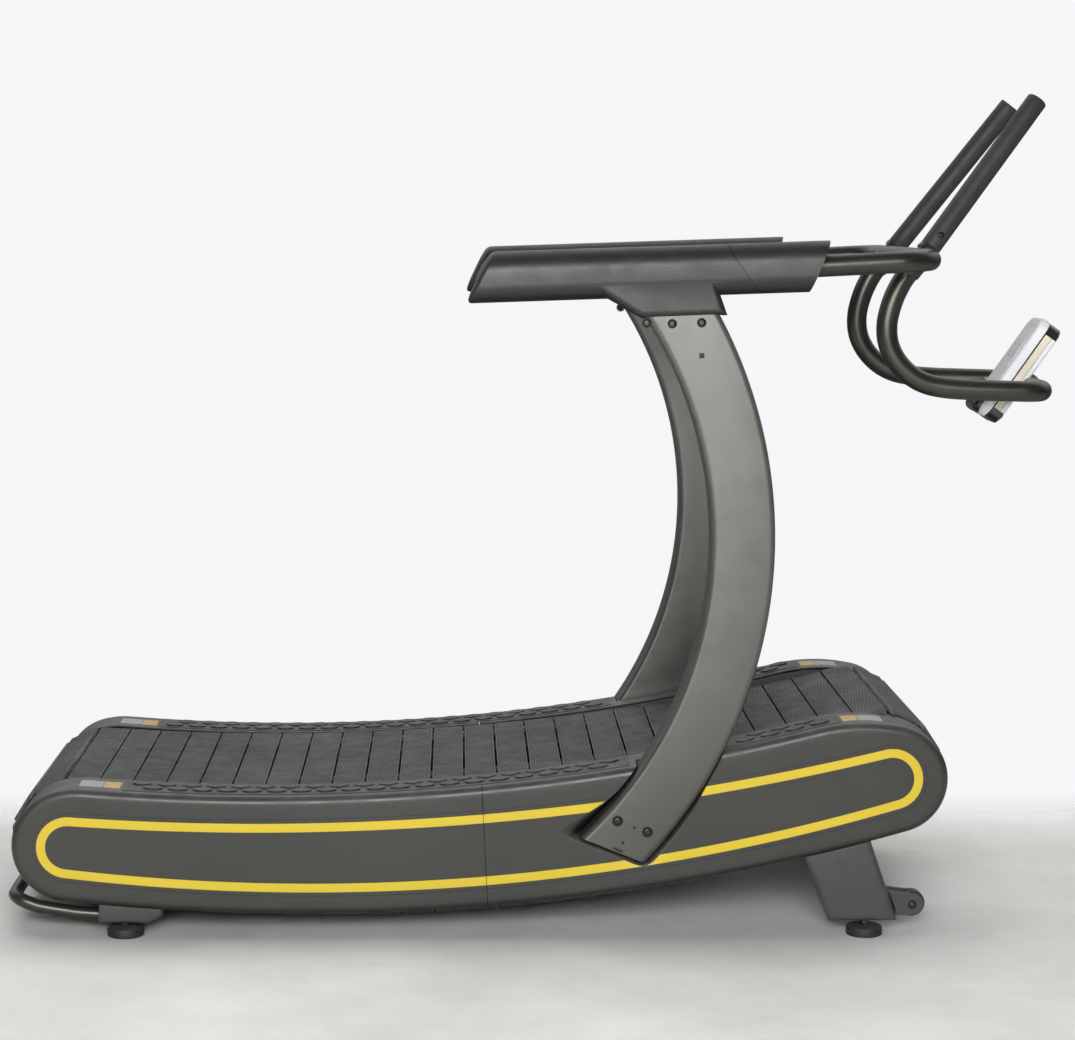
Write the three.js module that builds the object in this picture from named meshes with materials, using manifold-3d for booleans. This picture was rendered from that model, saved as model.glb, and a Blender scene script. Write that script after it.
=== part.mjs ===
// Curved manual treadmill as an assembly of named pieces.
// Millimetres. +X runs to the front of the machine, +Y across it, +Z up from the floor.
// Every piece is built for the +Y side first and mirrored for the -Y side.
import * as THREE from "three";
import { mergeVertices } from "three/addons/utils/BufferGeometryUtils.js";
import Module from "manifold-3d";

const wasm = await Module();
wasm.setup();

// ---- driving dimensions -------------------------------------------------------------
const MID_X = 86.9; // middle of the overall length, measured from midway between the feet
const GAP = 0.4; // clearance between pieces that meet

// Circles are { x, z, r }. The side covers' outline is a chain of tangent circles.
const COVER_FRONT = { x: 705, z: 287, r: 97 };
const COVER_REAR = { x: -758, z: 168, r: 100 };
const COVER_TOP = { x: -411, z: 4238, r: 3981 };
const FRONT_SHOULDER_R = 350;
const REAR_SHOULDER_R = 160;
const COVER_BOTTOM_R = 3920;
const COVER_Y = [244, 355];
const COVER_WALL = 4;
const COVER_ROUND = 10;
const COVER_SEAM = { top: -27, bottom: -16, gap: 0.8 };

// The belt's path at the walking surface.
const TREAD_TOP = { x: -437, z: 4988, r: 4731 };
const WRAP_R = 112;
const FRONT_AXLE_X = 699;
const REAR_AXLE_X = -761;
const TREAD_BOTTOM_R = 3420;
const SLAT_COUNT = 60;
const SLAT_GAP = 4;
const SLAT_T = 8;
const SLAT_HALF_Y = 240;
const BELT_T = 3;
const BELT_BITE = 1.5; // how far the rubber belt is bonded into the slats
const BELT_Y = [150, 190];
const BELT_STEPS = { belt_top: 9, belt_rear: 14, belt_bottom: 10, belt_front: 16 };
const PITCH_DEPTH = SLAT_T + BELT_T / 2;
const SLAT_PHASE_X = 1; // a gap between slats stands here on the top run

const SIDE_PLATE_Y = [246, 251];
const SIDE_PLATE_INSET = 5; // from the cover's outline
const AXLE_HOLE_R = 17;
const BEARING = { half: 34, depth: 18 };
const CROSS_BEAM = { halfX: 30, halfZ: 20, wall: 3 };
const CROSS_BEAM_AT = { rear: [-450, 115], middle: [0, 140], front: [450, 200] };
const RAIL_Y = [226, 238];
const RAIL_H = 40;
const RAIL_X = [-690, 610];
const RAIL_DROP = 4; // the rail's top edge, below the slats' undersides
const ROLLER = { r: 14, y: [200, 228], pitch: 120, sides: 10, lift: 3 };
const AXLE_R = 12;
const AXLE_HALF_Y = 266;
const DRUM_CORE_R = 20;
const DRUM_CORE_HALF_Y = 238;
const PULLEY = { r: 100, bore: 20.4, rim: 10, web: 12 };

// The uprights' arc, and the slanted line it is cut off along at the foot.
const UPRIGHT = { x: -349, z: 711, inner: 721, outer: 833, y: [303, 378], top: 1165 };
const FOOT_CUT = { x: 168, z: 184, slope: -0.4 };
const POCKET_GROW = 9;

// The arm covers.
const ARM = { y: [297, 385], tilt: 0.0387, wall: 3.5, h: 88, topR: 36, lowR: 31 };
const ARM_REAR = { bottom: -58, top: -16, z: 1128 };
const ARM_FRONT = { bottom: 537, top: 573 };
const BEAM = { x: [-8, 462], y: [323, 359], h: 42 };
const NECK = { round: 12, fillet: { x: 188, z: 1054, r: 80 } };
const NECK_FRONT = { x: [389, 381, 393], z: [1170, 1144, 1111] };
const CAP_SEAM = { x: [386, 400, 416, 452, 470], z: [1290, 1225, 1200, 1160, 1120] };

const BAR_R = 19;
const BAR = { y: 343, x0: 470, z0: 1191, x1: 759.5, z1: 1207, bend: 62 };
const LOOP_Y = 184;
const LOOP_FRONT = { x: 994, z: 968, bend: 46 };
const STUB_R = 15;
const GRIP_R = 18;
const GRIP_FOOT = [762, LOOP_Y, BAR.z1];
const GRIP_TOP = [977, 121, 1494];

const CONSOLE = { x: 970, z: 1000, lean: 55.5 }; // degrees of its long side above level
const CONSOLE_HALF_Y = 57;
const CONSOLE_DEPTH = { front: 18, seam: -2, back: -27 }; // measured out of its face
const BUTTONS = { mode: -30, set: 0, reset: 30 };
const BUTTON_X = -86;
const BUTTON_R = 7;

const LIFT_R = 12;
const FOOT_X = 661;
const FOOT_Y = 320;
const STUD_BORE = 7; // half the width of the square hole a foot's stud stands in
const LEG_Y = [254, 345];
const TONGUE_Y1 = 262;
const REAR_TONGUE_X = [-685, -612];
const LEG_TONGUE_X = [575, 650];
const WHEEL = { x: 746, z: 56, r: 24, y: [300, 322] };

// ---- looks --------------------------------------------------------------------------
const look = (color, roughness, metalness) => ({ color, roughness, metalness });
const LOOKS = {
  frame: look(0x2b2c2b, 0.5, 0.4),
  cover: look(0x50504a, 0.55, 0.0),
  upright: look(0x787973, 0.45, 0.5),
  arm: look(0x3c3e39, 0.6, 0.0),
  tube: look(0x2f2f2d, 0.35, 0.4),
  slat: look(0x414343, 0.7, 0.0),
  rubber: look(0x1c1c1c, 0.85, 0.0),
  steel: look(0x9a9c9e, 0.35, 0.9),
  pulley: look(0x6b6d70, 0.45, 0.9),
  shell: look(0xc9c9cc, 0.4, 0.0),
  lens: look(0x1a1d22, 0.15, 0.0),
  button: look(0x26282c, 0.35, 0.0),
  strip: look(0x2d2d2d, 0.8, 0.0),
};

// ---- solids -------------------------------------------------------------------------
function solid(geometry) {
  const bare = new THREE.BufferGeometry();
  bare.setAttribute("position", geometry.getAttribute("position"));
  bare.setIndex(geometry.getIndex());
  const merged = mergeVertices(bare, 1e-4);
  return new wasm.Manifold(
    new wasm.Mesh({
      numProp: 3,
      vertProperties: merged.attributes.position.array,
      triVerts: new Uint32Array(merged.index.array),
    }),
  );
}

const union = (...parts) => parts.reduce((whole, part) => whole.add(part));
const mirrored = (part) => part.mirror([0, 1, 0]);

// A prism of an outline of [x, z] points, from y0 to y1, its end edges rounded by `edge`.
function prism(points, [y0, y1], edge = 0, edgeSteps = 2) {
  const shape = new THREE.Shape(points.map(([x, z]) => new THREE.Vector2(x, z)));
  const geometry = new THREE.ExtrudeGeometry(shape, {
    depth: y1 - y0 - 2 * edge,
    bevelEnabled: edge > 0,
    bevelThickness: edge,
    bevelSize: edge,
    bevelOffset: -edge,
    bevelSegments: edgeSteps,
  });
  geometry.rotateX(Math.PI / 2);
  geometry.translate(0, y1 - edge, 0);
  return solid(geometry);
}

function block([x0, x1], [y0, y1], [z0, z1]) {
  const geometry = new THREE.BoxGeometry(x1 - x0, y1 - y0, z1 - z0);
  geometry.translate((x0 + x1) / 2, (y0 + y1) / 2, (z0 + z1) / 2);
  return solid(geometry);
}

function circlePoints({ x, z, r }, sides) {
  const step = (2 * Math.PI) / sides;
  return Array.from({ length: sides }, (_, i) => [
    x + r * Math.cos(i * step),
    z + r * Math.sin(i * step),
  ]);
}

const disc = (circle, yRange, sides = 24) => prism(circlePoints(circle, sides), yRange);

// A path for a tube, with one ring of the tube at each of the given points.
class RingPath extends THREE.Curve {
  constructor(points) {
    super();
    this.points = points;
  }
  getPoint(t) {
    return this.points[Math.round(t * (this.points.length - 1))].clone();
  }
  getPointAt(t) {
    return this.getPoint(t);
  }
  getTangentAt(t) {
    const last = this.points.length - 1;
    const i = Math.round(t * last);
    const here = this.points[i];
    const sum = new THREE.Vector3();
    if (i > 0) sum.add(here.clone().sub(this.points[i - 1]).normalize());
    if (i < last) sum.add(this.points[i + 1].clone().sub(here).normalize());
    return sum.normalize();
  }
}

function tube(points, radius, sides = 12) {
  const ring = circlePoints({ x: 0, z: 0, r: radius }, sides);
  const shape = new THREE.Shape(ring.map(([a, b]) => new THREE.Vector2(a, b)));
  const geometry = new THREE.ExtrudeGeometry(shape, {
    steps: points.length - 1,
    extrudePath: new RingPath(points),
  });
  return solid(geometry);
}

const at = (x, y, z) => new THREE.Vector3(x, y, z);

// Points round a bend of radius r at `corner`, coming from `before` and leaving to `after`.
function bend(before, corner, after, r, steps = 5) {
  const into = before.clone().sub(corner).normalize();
  const out = after.clone().sub(corner).normalize();
  const half = into.angleTo(out) / 2;
  const middle = into.clone().add(out).normalize();
  const centre = corner.clone().addScaledVector(middle, r / Math.sin(half));
  const start = corner.clone().addScaledVector(into, r / Math.tan(half)).sub(centre);
  const axis = start.clone().cross(corner.clone().sub(centre)).normalize();
  const turn = Math.PI - 2 * half;
  return Array.from({ length: steps + 1 }, (_, i) =>
    start.clone().applyAxisAngle(axis, (turn * i) / steps).add(centre),
  );
}

// ---- outlines made of tangent circles -----------------------------------------------
const bearing = (a, b) => Math.atan2(b.z - a.z, b.x - a.x);

// The point at distance da from a and db from b, to the left of the line from a to b
// when turn is 1 and to the right of it when turn is -1.
function meeting(a, da, b, db, turn) {
  const apart = Math.hypot(b.x - a.x, b.z - a.z);
  const along = (da * da - db * db + apart * apart) / (2 * apart);
  const off = turn * Math.sqrt(da * da - along * along);
  const ux = (b.x - a.x) / apart;
  const uz = (b.z - a.z) / apart;
  return { x: a.x + ux * along - uz * off, z: a.z + uz * along + ux * off };
}

// One arc of an anticlockwise outline. side is 1 where the outline bulges out, -1 where it dips.
function arc(circle, side, from, to, steps = 1) {
  let end = to;
  while (side * (end - from) < 0) end += side * 2 * Math.PI;
  return { ...circle, side, from, to: end, steps };
}

// A point on an arc, moved inwards by depth, with the outward normal there.
function onArc(part, angle, depth = 0) {
  const reach = part.r - part.side * depth;
  return {
    x: part.x + reach * Math.cos(angle),
    z: part.z + reach * Math.sin(angle),
    nx: part.side * Math.cos(angle),
    nz: part.side * Math.sin(angle),
  };
}

function outlinePoints(parts, depth) {
  return parts.flatMap((part) =>
    Array.from({ length: part.steps }, (_, i) => {
      const angle = part.from + ((part.to - part.from) * i) / part.steps;
      const p = onArc(part, angle, depth);
      return [p.x, p.z];
    }),
  );
}

function coverOutline() {
  const front = COVER_FRONT;
  const rear = COVER_REAR;
  const top = COVER_TOP;
  const shoulder = (end, r, turn) => ({
    ...meeting(end, r - end.r, top, top.r + r, turn),
    r,
  });
  const frontTop = shoulder(front, FRONT_SHOULDER_R, 1);
  const rearTop = shoulder(rear, REAR_SHOULDER_R, -1);
  const r = COVER_BOTTOM_R;
  const bottom = { ...meeting(rear, r - rear.r, front, r - front.r, 1), r };
  return [
    arc(front, 1, bearing(bottom, front), bearing(frontTop, front), 10),
    arc(frontTop, 1, bearing(frontTop, front), bearing(frontTop, top), 3),
    arc(top, -1, bearing(top, frontTop), bearing(top, rearTop), 14),
    arc(rearTop, 1, bearing(rearTop, top), bearing(rearTop, rear), 2),
    arc(rear, 1, bearing(rearTop, rear), bearing(bottom, rear), 10),
    arc(bottom, 1, bearing(bottom, rear), bearing(bottom, front), 12),
  ];
}

// The belt's path: top run, front wrap, bottom run and rear wrap, anticlockwise.
function axleAt(x) {
  const reach = TREAD_TOP.r + WRAP_R;
  const dx = x - TREAD_TOP.x;
  return { x, z: TREAD_TOP.z - Math.sqrt(reach * reach - dx * dx), r: WRAP_R };
}

const FRONT_AXLE = axleAt(FRONT_AXLE_X);
const REAR_AXLE = axleAt(REAR_AXLE_X);
const TREAD_BOTTOM = {
  ...meeting(REAR_AXLE, TREAD_BOTTOM_R - WRAP_R, FRONT_AXLE, TREAD_BOTTOM_R - WRAP_R, 1),
  r: TREAD_BOTTOM_R,
};
const LOOP = {
  belt_top: arc(
    TREAD_TOP, -1, bearing(TREAD_TOP, FRONT_AXLE), bearing(TREAD_TOP, REAR_AXLE),
  ),
  belt_rear: arc(
    REAR_AXLE, 1, bearing(REAR_AXLE, TREAD_TOP), bearing(TREAD_BOTTOM, REAR_AXLE),
  ),
  belt_bottom: arc(
    TREAD_BOTTOM, 1, bearing(TREAD_BOTTOM, REAR_AXLE), bearing(TREAD_BOTTOM, FRONT_AXLE),
  ),
  belt_front: arc(
    FRONT_AXLE, 1, bearing(TREAD_BOTTOM, FRONT_AXLE), bearing(FRONT_AXLE, TREAD_TOP),
  ),
};

const pitchRadius = (part) => part.r - part.side * PITCH_DEPTH;
const arcLength = (part) => Math.abs(part.to - part.from) * pitchRadius(part);
const LOOP_LENGTH = Object.values(LOOP).reduce((sum, part) => sum + arcLength(part), 0);
const PITCH = LOOP_LENGTH / SLAT_COUNT;
const SLAT_HALF = (PITCH - SLAT_GAP) / 2;

// Where each slat stands: the arc it is on and its angle there.
function slatPlaces() {
  const top = LOOP.belt_top;
  const phaseAngle = -Math.acos((SLAT_PHASE_X - top.x) / top.r);
  const first = ((top.from - phaseAngle) * pitchRadius(top)) % PITCH;
  const places = [];
  let run = first + PITCH / 2;
  for (const [name, part] of Object.entries(LOOP)) {
    const length = arcLength(part);
    for (; run <= length; run += PITCH) {
      const angle = part.from + (part.side * run) / pitchRadius(part);
      places.push({ name, part, angle });
    }
    run -= length;
  }
  return places;
}

function slat({ part, angle }) {
  const p = onArc(part, angle);
  const corner = (along, deep) => [
    p.x - p.nz * along - p.nx * deep,
    p.z + p.nx * along - p.nz * deep,
  ];
  const points = [
    corner(-SLAT_HALF, SLAT_T),
    corner(SLAT_HALF, SLAT_T),
    corner(SLAT_HALF, 0),
    corner(-SLAT_HALF, 0),
  ];
  return prism(points, [-SLAT_HALF_Y, SLAT_HALF_Y]);
}

// The rubber belt under a run of slats, as a band between two depths.
function beltBand(part, from, to, steps) {
  const side = (depth) =>
    Array.from({ length: steps + 1 }, (_, i) => {
      const p = onArc(part, from + ((to - from) * i) / steps, depth);
      return [p.x, p.z];
    });
  const outer = side(SLAT_T - BELT_BITE);
  const inner = side(SLAT_T + BELT_T).reverse();
  const band = prism([...outer, ...inner], BELT_Y);
  return union(band, mirrored(band));
}

function beltGroup(name) {
  const slats = slatPlaces().filter((place) => place.name === name);
  const { part } = slats[0];
  const reach = (part.side * SLAT_HALF) / pitchRadius(part);
  const from = slats[0].angle - reach;
  const to = slats[slats.length - 1].angle + reach;
  const band = beltBand(part, from, to, BELT_STEPS[name]);
  return union(band, ...slats.map(slat));
}

// ---- the group ----------------------------------------------------------------------
const root = new THREE.Group();
root.name = "curved_treadmill";
root.position.x = -MID_X;

function piece(name, part, style) {
  const mesh = part.getMesh();
  const geometry = new THREE.BufferGeometry();
  geometry.setAttribute("position", new THREE.BufferAttribute(mesh.vertProperties, 3));
  geometry.setIndex(new THREE.BufferAttribute(mesh.triVerts, 1));
  const made = new THREE.Mesh(geometry, new THREE.MeshStandardMaterial(LOOKS[style]));
  made.name = name;
  root.add(made);
}

function pair(name, part, style, tail = "") {
  piece(`${name}_far${tail}`, part, style);
  piece(`${name}_near${tail}`, mirrored(part), style);
}

// ---- running belt, pulleys and axles ------------------------------------------------
function addBelt() {
  for (const name of Object.keys(LOOP)) piece(name, beltGroup(name), "slat");
}

function pulley(axle) {
  const [y0, y1] = BELT_Y;
  const mid = (y0 + y1) / 2;
  const { r, bore, rim, web } = PULLEY;
  const hub = 8;
  const profile = [
    [bore, y0 + hub],
    [r - rim - 2, mid - web / 2],
    [r - rim, y0],
    [r, y0],
    [r, y1],
    [r - rim, y1],
    [r - rim - 2, mid + web / 2],
    [bore, y1 - hub],
    [bore, y0 + hub],
  ];
  const geometry = new THREE.LatheGeometry(
    profile.map(([radius, y]) => new THREE.Vector2(radius, y)),
    24,
  );
  return solid(geometry).translate([axle.x, 0, axle.z]);
}

function addDrum(end, axle) {
  const core = disc({ ...axle, r: DRUM_CORE_R }, [-DRUM_CORE_HALF_Y, DRUM_CORE_HALF_Y], 16);
  const shaft = disc({ ...axle, r: AXLE_R }, [-AXLE_HALF_Y, AXLE_HALF_Y], 12);
  piece(`${end}_axle`, union(core, shaft), "steel");
  pair(`${end}_pulley`, pulley(axle), "pulley");
}

// ---- frame --------------------------------------------------------------------------
function sidePlate() {
  const outline = outlinePoints(coverOutline(), SIDE_PLATE_INSET);
  const hole = (axle) => disc({ ...axle, r: AXLE_HOLE_R }, [240, 260], 16);
  return prism(outline, SIDE_PLATE_Y).subtract(hole(FRONT_AXLE)).subtract(hole(REAR_AXLE));
}

function bearingBlock(axle) {
  const { half, depth } = BEARING;
  const y = [SIDE_PLATE_Y[1] + GAP, SIDE_PLATE_Y[1] + depth];
  const body = block([axle.x - half, axle.x + half], y, [axle.z - half, axle.z + half]);
  return body.subtract(disc({ ...axle, r: AXLE_R + 0.6 }, [240, 280]));
}

// A curved rail under the slats' ends, with the rollers that carry the belt.
function guideRail() {
  const under = TREAD_TOP.r + SLAT_T;
  const top = under + RAIL_DROP;
  const steps = 10;
  const ring = (r) => {
    const from = Math.acos((RAIL_X[0] - TREAD_TOP.x) / r);
    const to = Math.acos((RAIL_X[1] - TREAD_TOP.x) / r);
    return Array.from({ length: steps + 1 }, (_, i) => {
      const angle = -(from + ((to - from) * i) / steps);
      return [TREAD_TOP.x + r * Math.cos(angle), TREAD_TOP.z + r * Math.sin(angle)];
    });
  };
  const rail = prism([...ring(top + RAIL_H), ...ring(top).reverse()], RAIL_Y);
  const reach = top - ROLLER.lift + ROLLER.r;
  const rollers = [];
  for (let x = RAIL_X[0] + 30; x < RAIL_X[1] - 20; x += ROLLER.pitch) {
    const dx = x - TREAD_TOP.x;
    const z = TREAD_TOP.z - Math.sqrt(reach * reach - dx * dx);
    rollers.push(disc({ x, z, r: ROLLER.r }, ROLLER.y, ROLLER.sides));
  }
  return union(rail, ...rollers);
}

function crossBeam([x, z]) {
  const { halfX, halfZ, wall } = CROSS_BEAM;
  const y = SIDE_PLATE_Y[0] - GAP;
  const outer = block([x - halfX, x + halfX], [-y, y], [z - halfZ, z + halfZ]);
  const inner = block(
    [x - halfX + wall, x + halfX - wall],
    [-y - 1, y + 1],
    [z - halfZ + wall, z + halfZ - wall],
  );
  return outer.subtract(inner);
}

function addFrame() {
  pair("side_frame", sidePlate(), "frame");
  pair("guide_rail", guideRail(), "steel");
  for (const [name, spot] of Object.entries(CROSS_BEAM_AT)) {
    piece(`cross_beam_${name}`, crossBeam(spot), "frame");
  }
  pair("bearing_block_front", bearingBlock(FRONT_AXLE), "frame");
  pair("bearing_block_rear", bearingBlock(REAR_AXLE), "frame");
}

// ---- uprights -----------------------------------------------------------------------
function uprightBand(grow, top) {
  const { x, z, inner, outer } = UPRIGHT;
  const side = (r) => {
    const from = -Math.PI / 3;
    const to = Math.asin((top - z) / r);
    const steps = 15;
    return Array.from({ length: steps + 1 }, (_, i) => {
      const angle = from + ((to - from) * i) / steps;
      return [x + r * Math.cos(angle), z + r * Math.sin(angle)];
    });
  };
  return [...side(outer + grow), ...side(inner - grow).reverse()];
}

// Everything below the uprights' foot line, moved down by drop.
function belowFoot(drop) {
  const line = (x) => [x, FOOT_CUT.z + FOOT_CUT.slope * (x - FOOT_CUT.x) - drop];
  return prism([line(-200), [-200, -300], [500, -300], line(500)], [200, 450]);
}

function upright() {
  const [y0, y1] = UPRIGHT.y;
  const wall = 3;
  const skin = prism(uprightBand(0, UPRIGHT.top), [y0, y1], 8).subtract(belowFoot(0));
  const hollow = prism(uprightBand(-wall, UPRIGHT.top + 5), [y0 + wall, y1 - wall]);
  const boss = block([197, 253], [SIDE_PLATE_Y[1] + GAP, y0 + 4], [172, 212]);
  return union(skin.subtract(hollow.subtract(belowFoot(-10))), boss, armBeam());
}

// Height of the arm's lower edge at x, plus a share of its depth.
const armZ = (x, share) => ARM_REAR.z + ARM.tilt * (x - ARM_REAR.bottom) + share * ARM.h;

function armBeam() {
  const [x0, x1] = BEAM.x;
  const half = BEAM.h / 2 / ARM.h;
  const corner = (x, share) => [x, armZ(x, share)];
  return prism(
    [corner(x0, 0.5 - half), corner(x1, 0.5 - half), corner(x1, 0.5 + half), corner(x0, 0.5 + half)],
    BEAM.y,
  );
}

// ---- side covers --------------------------------------------------------------------
// The space round an upright's foot, grown by grow on every side.
function footSpace(grow, y0) {
  const band = prism(uprightBand(grow, 500), [y0, 400]);
  return band.subtract(belowFoot(grow));
}

function coverBody() {
  const parts = coverOutline();
  const [y0, y1] = COVER_Y;
  const skin = prism(outlinePoints(parts, 0), [y0 - 20, y1], COVER_ROUND, 2);
  const tray = prism(outlinePoints(parts, COVER_WALL), [y0 - 30, y1 - COVER_WALL], 5, 1);
  const pocketWall = footSpace(POCKET_GROW + 3, UPRIGHT.y[0] - 7);
  const boss = block([194, 256], [200, 340], [169, 215]);
  const cut = block([-1200, 1200], [0, y0], [-100, 700]);
  return skin
    .subtract(tray.subtract(pocketWall))
    .subtract(footSpace(POCKET_GROW, UPRIGHT.y[0] - 4))
    .subtract(boss)
    .subtract(cut)
    .subtract(legSlots());
}

// Everything behind the seam between the two halves of a cover, moved by shift.
function behindSeam(shift) {
  const top = COVER_SEAM.top + shift;
  const bottom = COVER_SEAM.bottom + shift;
  const points = [
    [-1200, -100],
    [bottom, -100],
    [bottom, 60],
    [top, 270],
    [top, 700],
    [-1200, 700],
  ];
  return prism(points, [100, 500]);
}

function treadStrip() {
  const parts = coverOutline();
  const sheet = prism(outlinePoints(parts, -1.6), [258, 332]).subtract(
    footSpace(POCKET_GROW, UPRIGHT.y[0] - 4),
  );
  const under = prism(outlinePoints(parts, -GAP), [250, 340]);
  const keep = block([-664, 612], [250, 340], [230, 450]);
  return sheet.subtract(under).intersect(keep);
}

function addCovers() {
  const body = coverBody();
  pair("cover", body.intersect(behindSeam(-COVER_SEAM.gap / 2)), "cover", "_rear");
  pair("cover", body.subtract(behindSeam(COVER_SEAM.gap / 2)), "cover", "_front");
  pair("tread_strip", treadStrip(), "strip");
}

// ---- arm covers and rails -----------------------------------------------------------
// The rounded section of the arm swept along it, shrunk by inset, cut to its slanted ends.
function armSweep(inset) {
  const [y0, y1] = ARM.y;
  const high = ARM.h - inset;
  const top = ARM.topR - inset;
  const low = ARM.lowR - inset;
  const corners = [
    { y: y1 - ARM.topR, z: high - top, r: top, from: 0 },
    { y: y0 + ARM.topR, z: high - top, r: top, from: 1 },
    { y: y0 + ARM.lowR, z: ARM.lowR, r: low, from: 2 },
    { y: y1 - ARM.lowR, z: ARM.lowR, r: low, from: 3 },
  ];
  const steps = 4;
  const outline = corners.flatMap(({ y, z, r, from }) =>
    Array.from({ length: steps + 1 }, (_, i) => {
      const angle = ((from + i / steps) * Math.PI) / 2;
      return new THREE.Vector2(y + r * Math.cos(angle), z + r * Math.sin(angle));
    }),
  );
  const start = -120;
  const geometry = new THREE.ExtrudeGeometry(new THREE.Shape(outline), {
    depth: 760,
    bevelEnabled: false,
  });
  const along = at(1, 0, ARM.tilt).normalize();
  const across = at(0, 1, 0);
  const turn = new THREE.Matrix4().makeBasis(across, along.clone().cross(across), along);
  geometry.applyMatrix4(turn.setPosition(start, 0, armZ(start, 0)));
  return solid(geometry);
}

// The arm's outline from the side between its slanted ends, each end moved inwards.
function armSide(rearInset, frontInset) {
  const corner = ({ bottom, top }, shift, share) => {
    const x = bottom + shift + share * (top - bottom);
    return [x, armZ(x, share)];
  };
  const points = [
    corner(ARM_REAR, rearInset, -0.5),
    corner(ARM_FRONT, -frontInset, -0.5),
    corner(ARM_FRONT, -frontInset, 1.5),
    corner(ARM_REAR, rearInset, 1.5),
  ];
  return prism(points, [200, 450]);
}

// The neck that joins the arm to the upright, seen from the side, shrunk by inset.
function neckOutline(inset) {
  const { x, z } = NECK.fillet;
  const r = NECK.fillet.r + inset;
  const front = NECK_FRONT.x.map((edge, i) => [edge - inset, NECK_FRONT.z[i]]);
  const from = 0.225 * Math.PI;
  const to = Math.PI / 2;
  const steps = 5;
  const curve = Array.from({ length: steps + 1 }, (_, i) => {
    const angle = from + ((to - from) * i) / steps;
    return [x + r * Math.cos(angle), z + r * Math.sin(angle)];
  });
  const underside = [curve[0][0], 1104 - inset];
  return [...front, underside, ...curve, [160, 1170]];
}

function armShell() {
  const [y0, y1] = ARM.y;
  const { wall } = ARM;
  const skin = armSweep(0).intersect(armSide(0, 0));
  const neck = prism(neckOutline(0), [y0 + 2, y1 - 2], NECK.round, 3);
  const hollow = armSweep(wall).intersect(armSide(wall, -20));
  const neckHollow = prism(neckOutline(wall), [y0 + 2 + wall, y1 - 2 - wall], 9, 1);
  const neckMouth = prism(uprightBand(2, 1200), [UPRIGHT.y[0] - 1.5, UPRIGHT.y[1] + 1.5]);
  return union(skin, neck).subtract(union(hollow, neckHollow, neckMouth));
}

// Everything in front of the seam of the arm's end cap, moved forward by shift.
function inFrontOfCapSeam(shift) {
  const line = CAP_SEAM.x.map((x, i) => [x + shift, CAP_SEAM.z[i]]);
  return prism([...line, [800, 1120], [800, 1290]], [200, 450]);
}

// Everything above the arm's parting line, moved up by shift.
function aboveParting(shift) {
  const line = (x) => [x, armZ(x, 0.5) + shift];
  return prism([line(-300), line(800), [800, 1500], [-300, 1500]], [200, 450]);
}

function addArms() {
  const shell = armShell();
  const rear = shell.subtract(inFrontOfCapSeam(-GAP / 2));
  pair("arm_top", rear.intersect(aboveParting(GAP / 2)), "arm");
  pair("arm_bottom", rear.subtract(aboveParting(-GAP / 2)), "arm");
  pair("arm_cap", shell.intersect(inFrontOfCapSeam(GAP / 2)), "arm");
}

// A point on the grip's line, share of the way from its foot on the bar to its top.
const gripPoint = (share) => at(...GRIP_FOOT).lerp(at(...GRIP_TOP), share);

function addFrontBar() {
  const { y, x0, z0, x1, z1 } = BAR;
  const farCorner = at(x1, y, z1);
  const nearCorner = at(x1, -y, z1);
  const farStart = at(x0, y, z0);
  const nearStart = at(x0, -y, z0);
  const path = [
    farStart,
    ...bend(farStart, farCorner, nearCorner, BAR.bend),
    ...bend(farCorner, nearCorner, nearStart, BAR.bend),
    nearStart,
  ];
  const stub = tube([gripPoint(0), gripPoint(0.9)], STUB_R);
  piece("front_bar", union(tube(path, BAR_R), stub, mirrored(stub)), "tube");
  const bore = tube([gripPoint(0), gripPoint(0.905)], STUB_R + 0.6);
  const sleeve = tube([gripPoint(0.11), gripPoint(1)], GRIP_R, 16);
  pair("grip", sleeve.subtract(bore), "rubber");
}

function loopSide() {
  const marks = [
    [757, 1205],
    [730, 1169],
    [711, 1131],
    [702, 1093],
    [704, 1058],
    [717, 1028],
    [740, 1002],
    [770, 984],
    [808, 975],
    [864, 971],
  ];
  return marks.map(([x, z]) => at(x, LOOP_Y, z));
}

function addConsoleLoop() {
  const side = loopSide();
  const farCorner = at(LOOP_FRONT.x, LOOP_Y, LOOP_FRONT.z);
  const flip = (p) => at(p.x, -p.y, p.z);
  const turn = bend(side[side.length - 1], farCorner, flip(farCorner), LOOP_FRONT.bend);
  const half = [...side, ...turn];
  const whole = tube([...half, ...half.map(flip).reverse()], BAR_R);
  const bar = disc({ x: BAR.x1, z: BAR.z1, r: BAR_R + GAP }, [-300, 300], 24);
  const above = block([600, 900], [-300, 300], [BAR.z1, 1400]);
  piece("console_loop", whole.subtract(bar).subtract(above), "tube");
}

// ---- console ------------------------------------------------------------------------
// The console is built flat: x along it, z out of its face, then leaned and moved.
function leaned(part) {
  return part.rotate([0, -CONSOLE.lean, 0]).translate([CONSOLE.x, 0, CONSOLE.z]);
}

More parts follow.
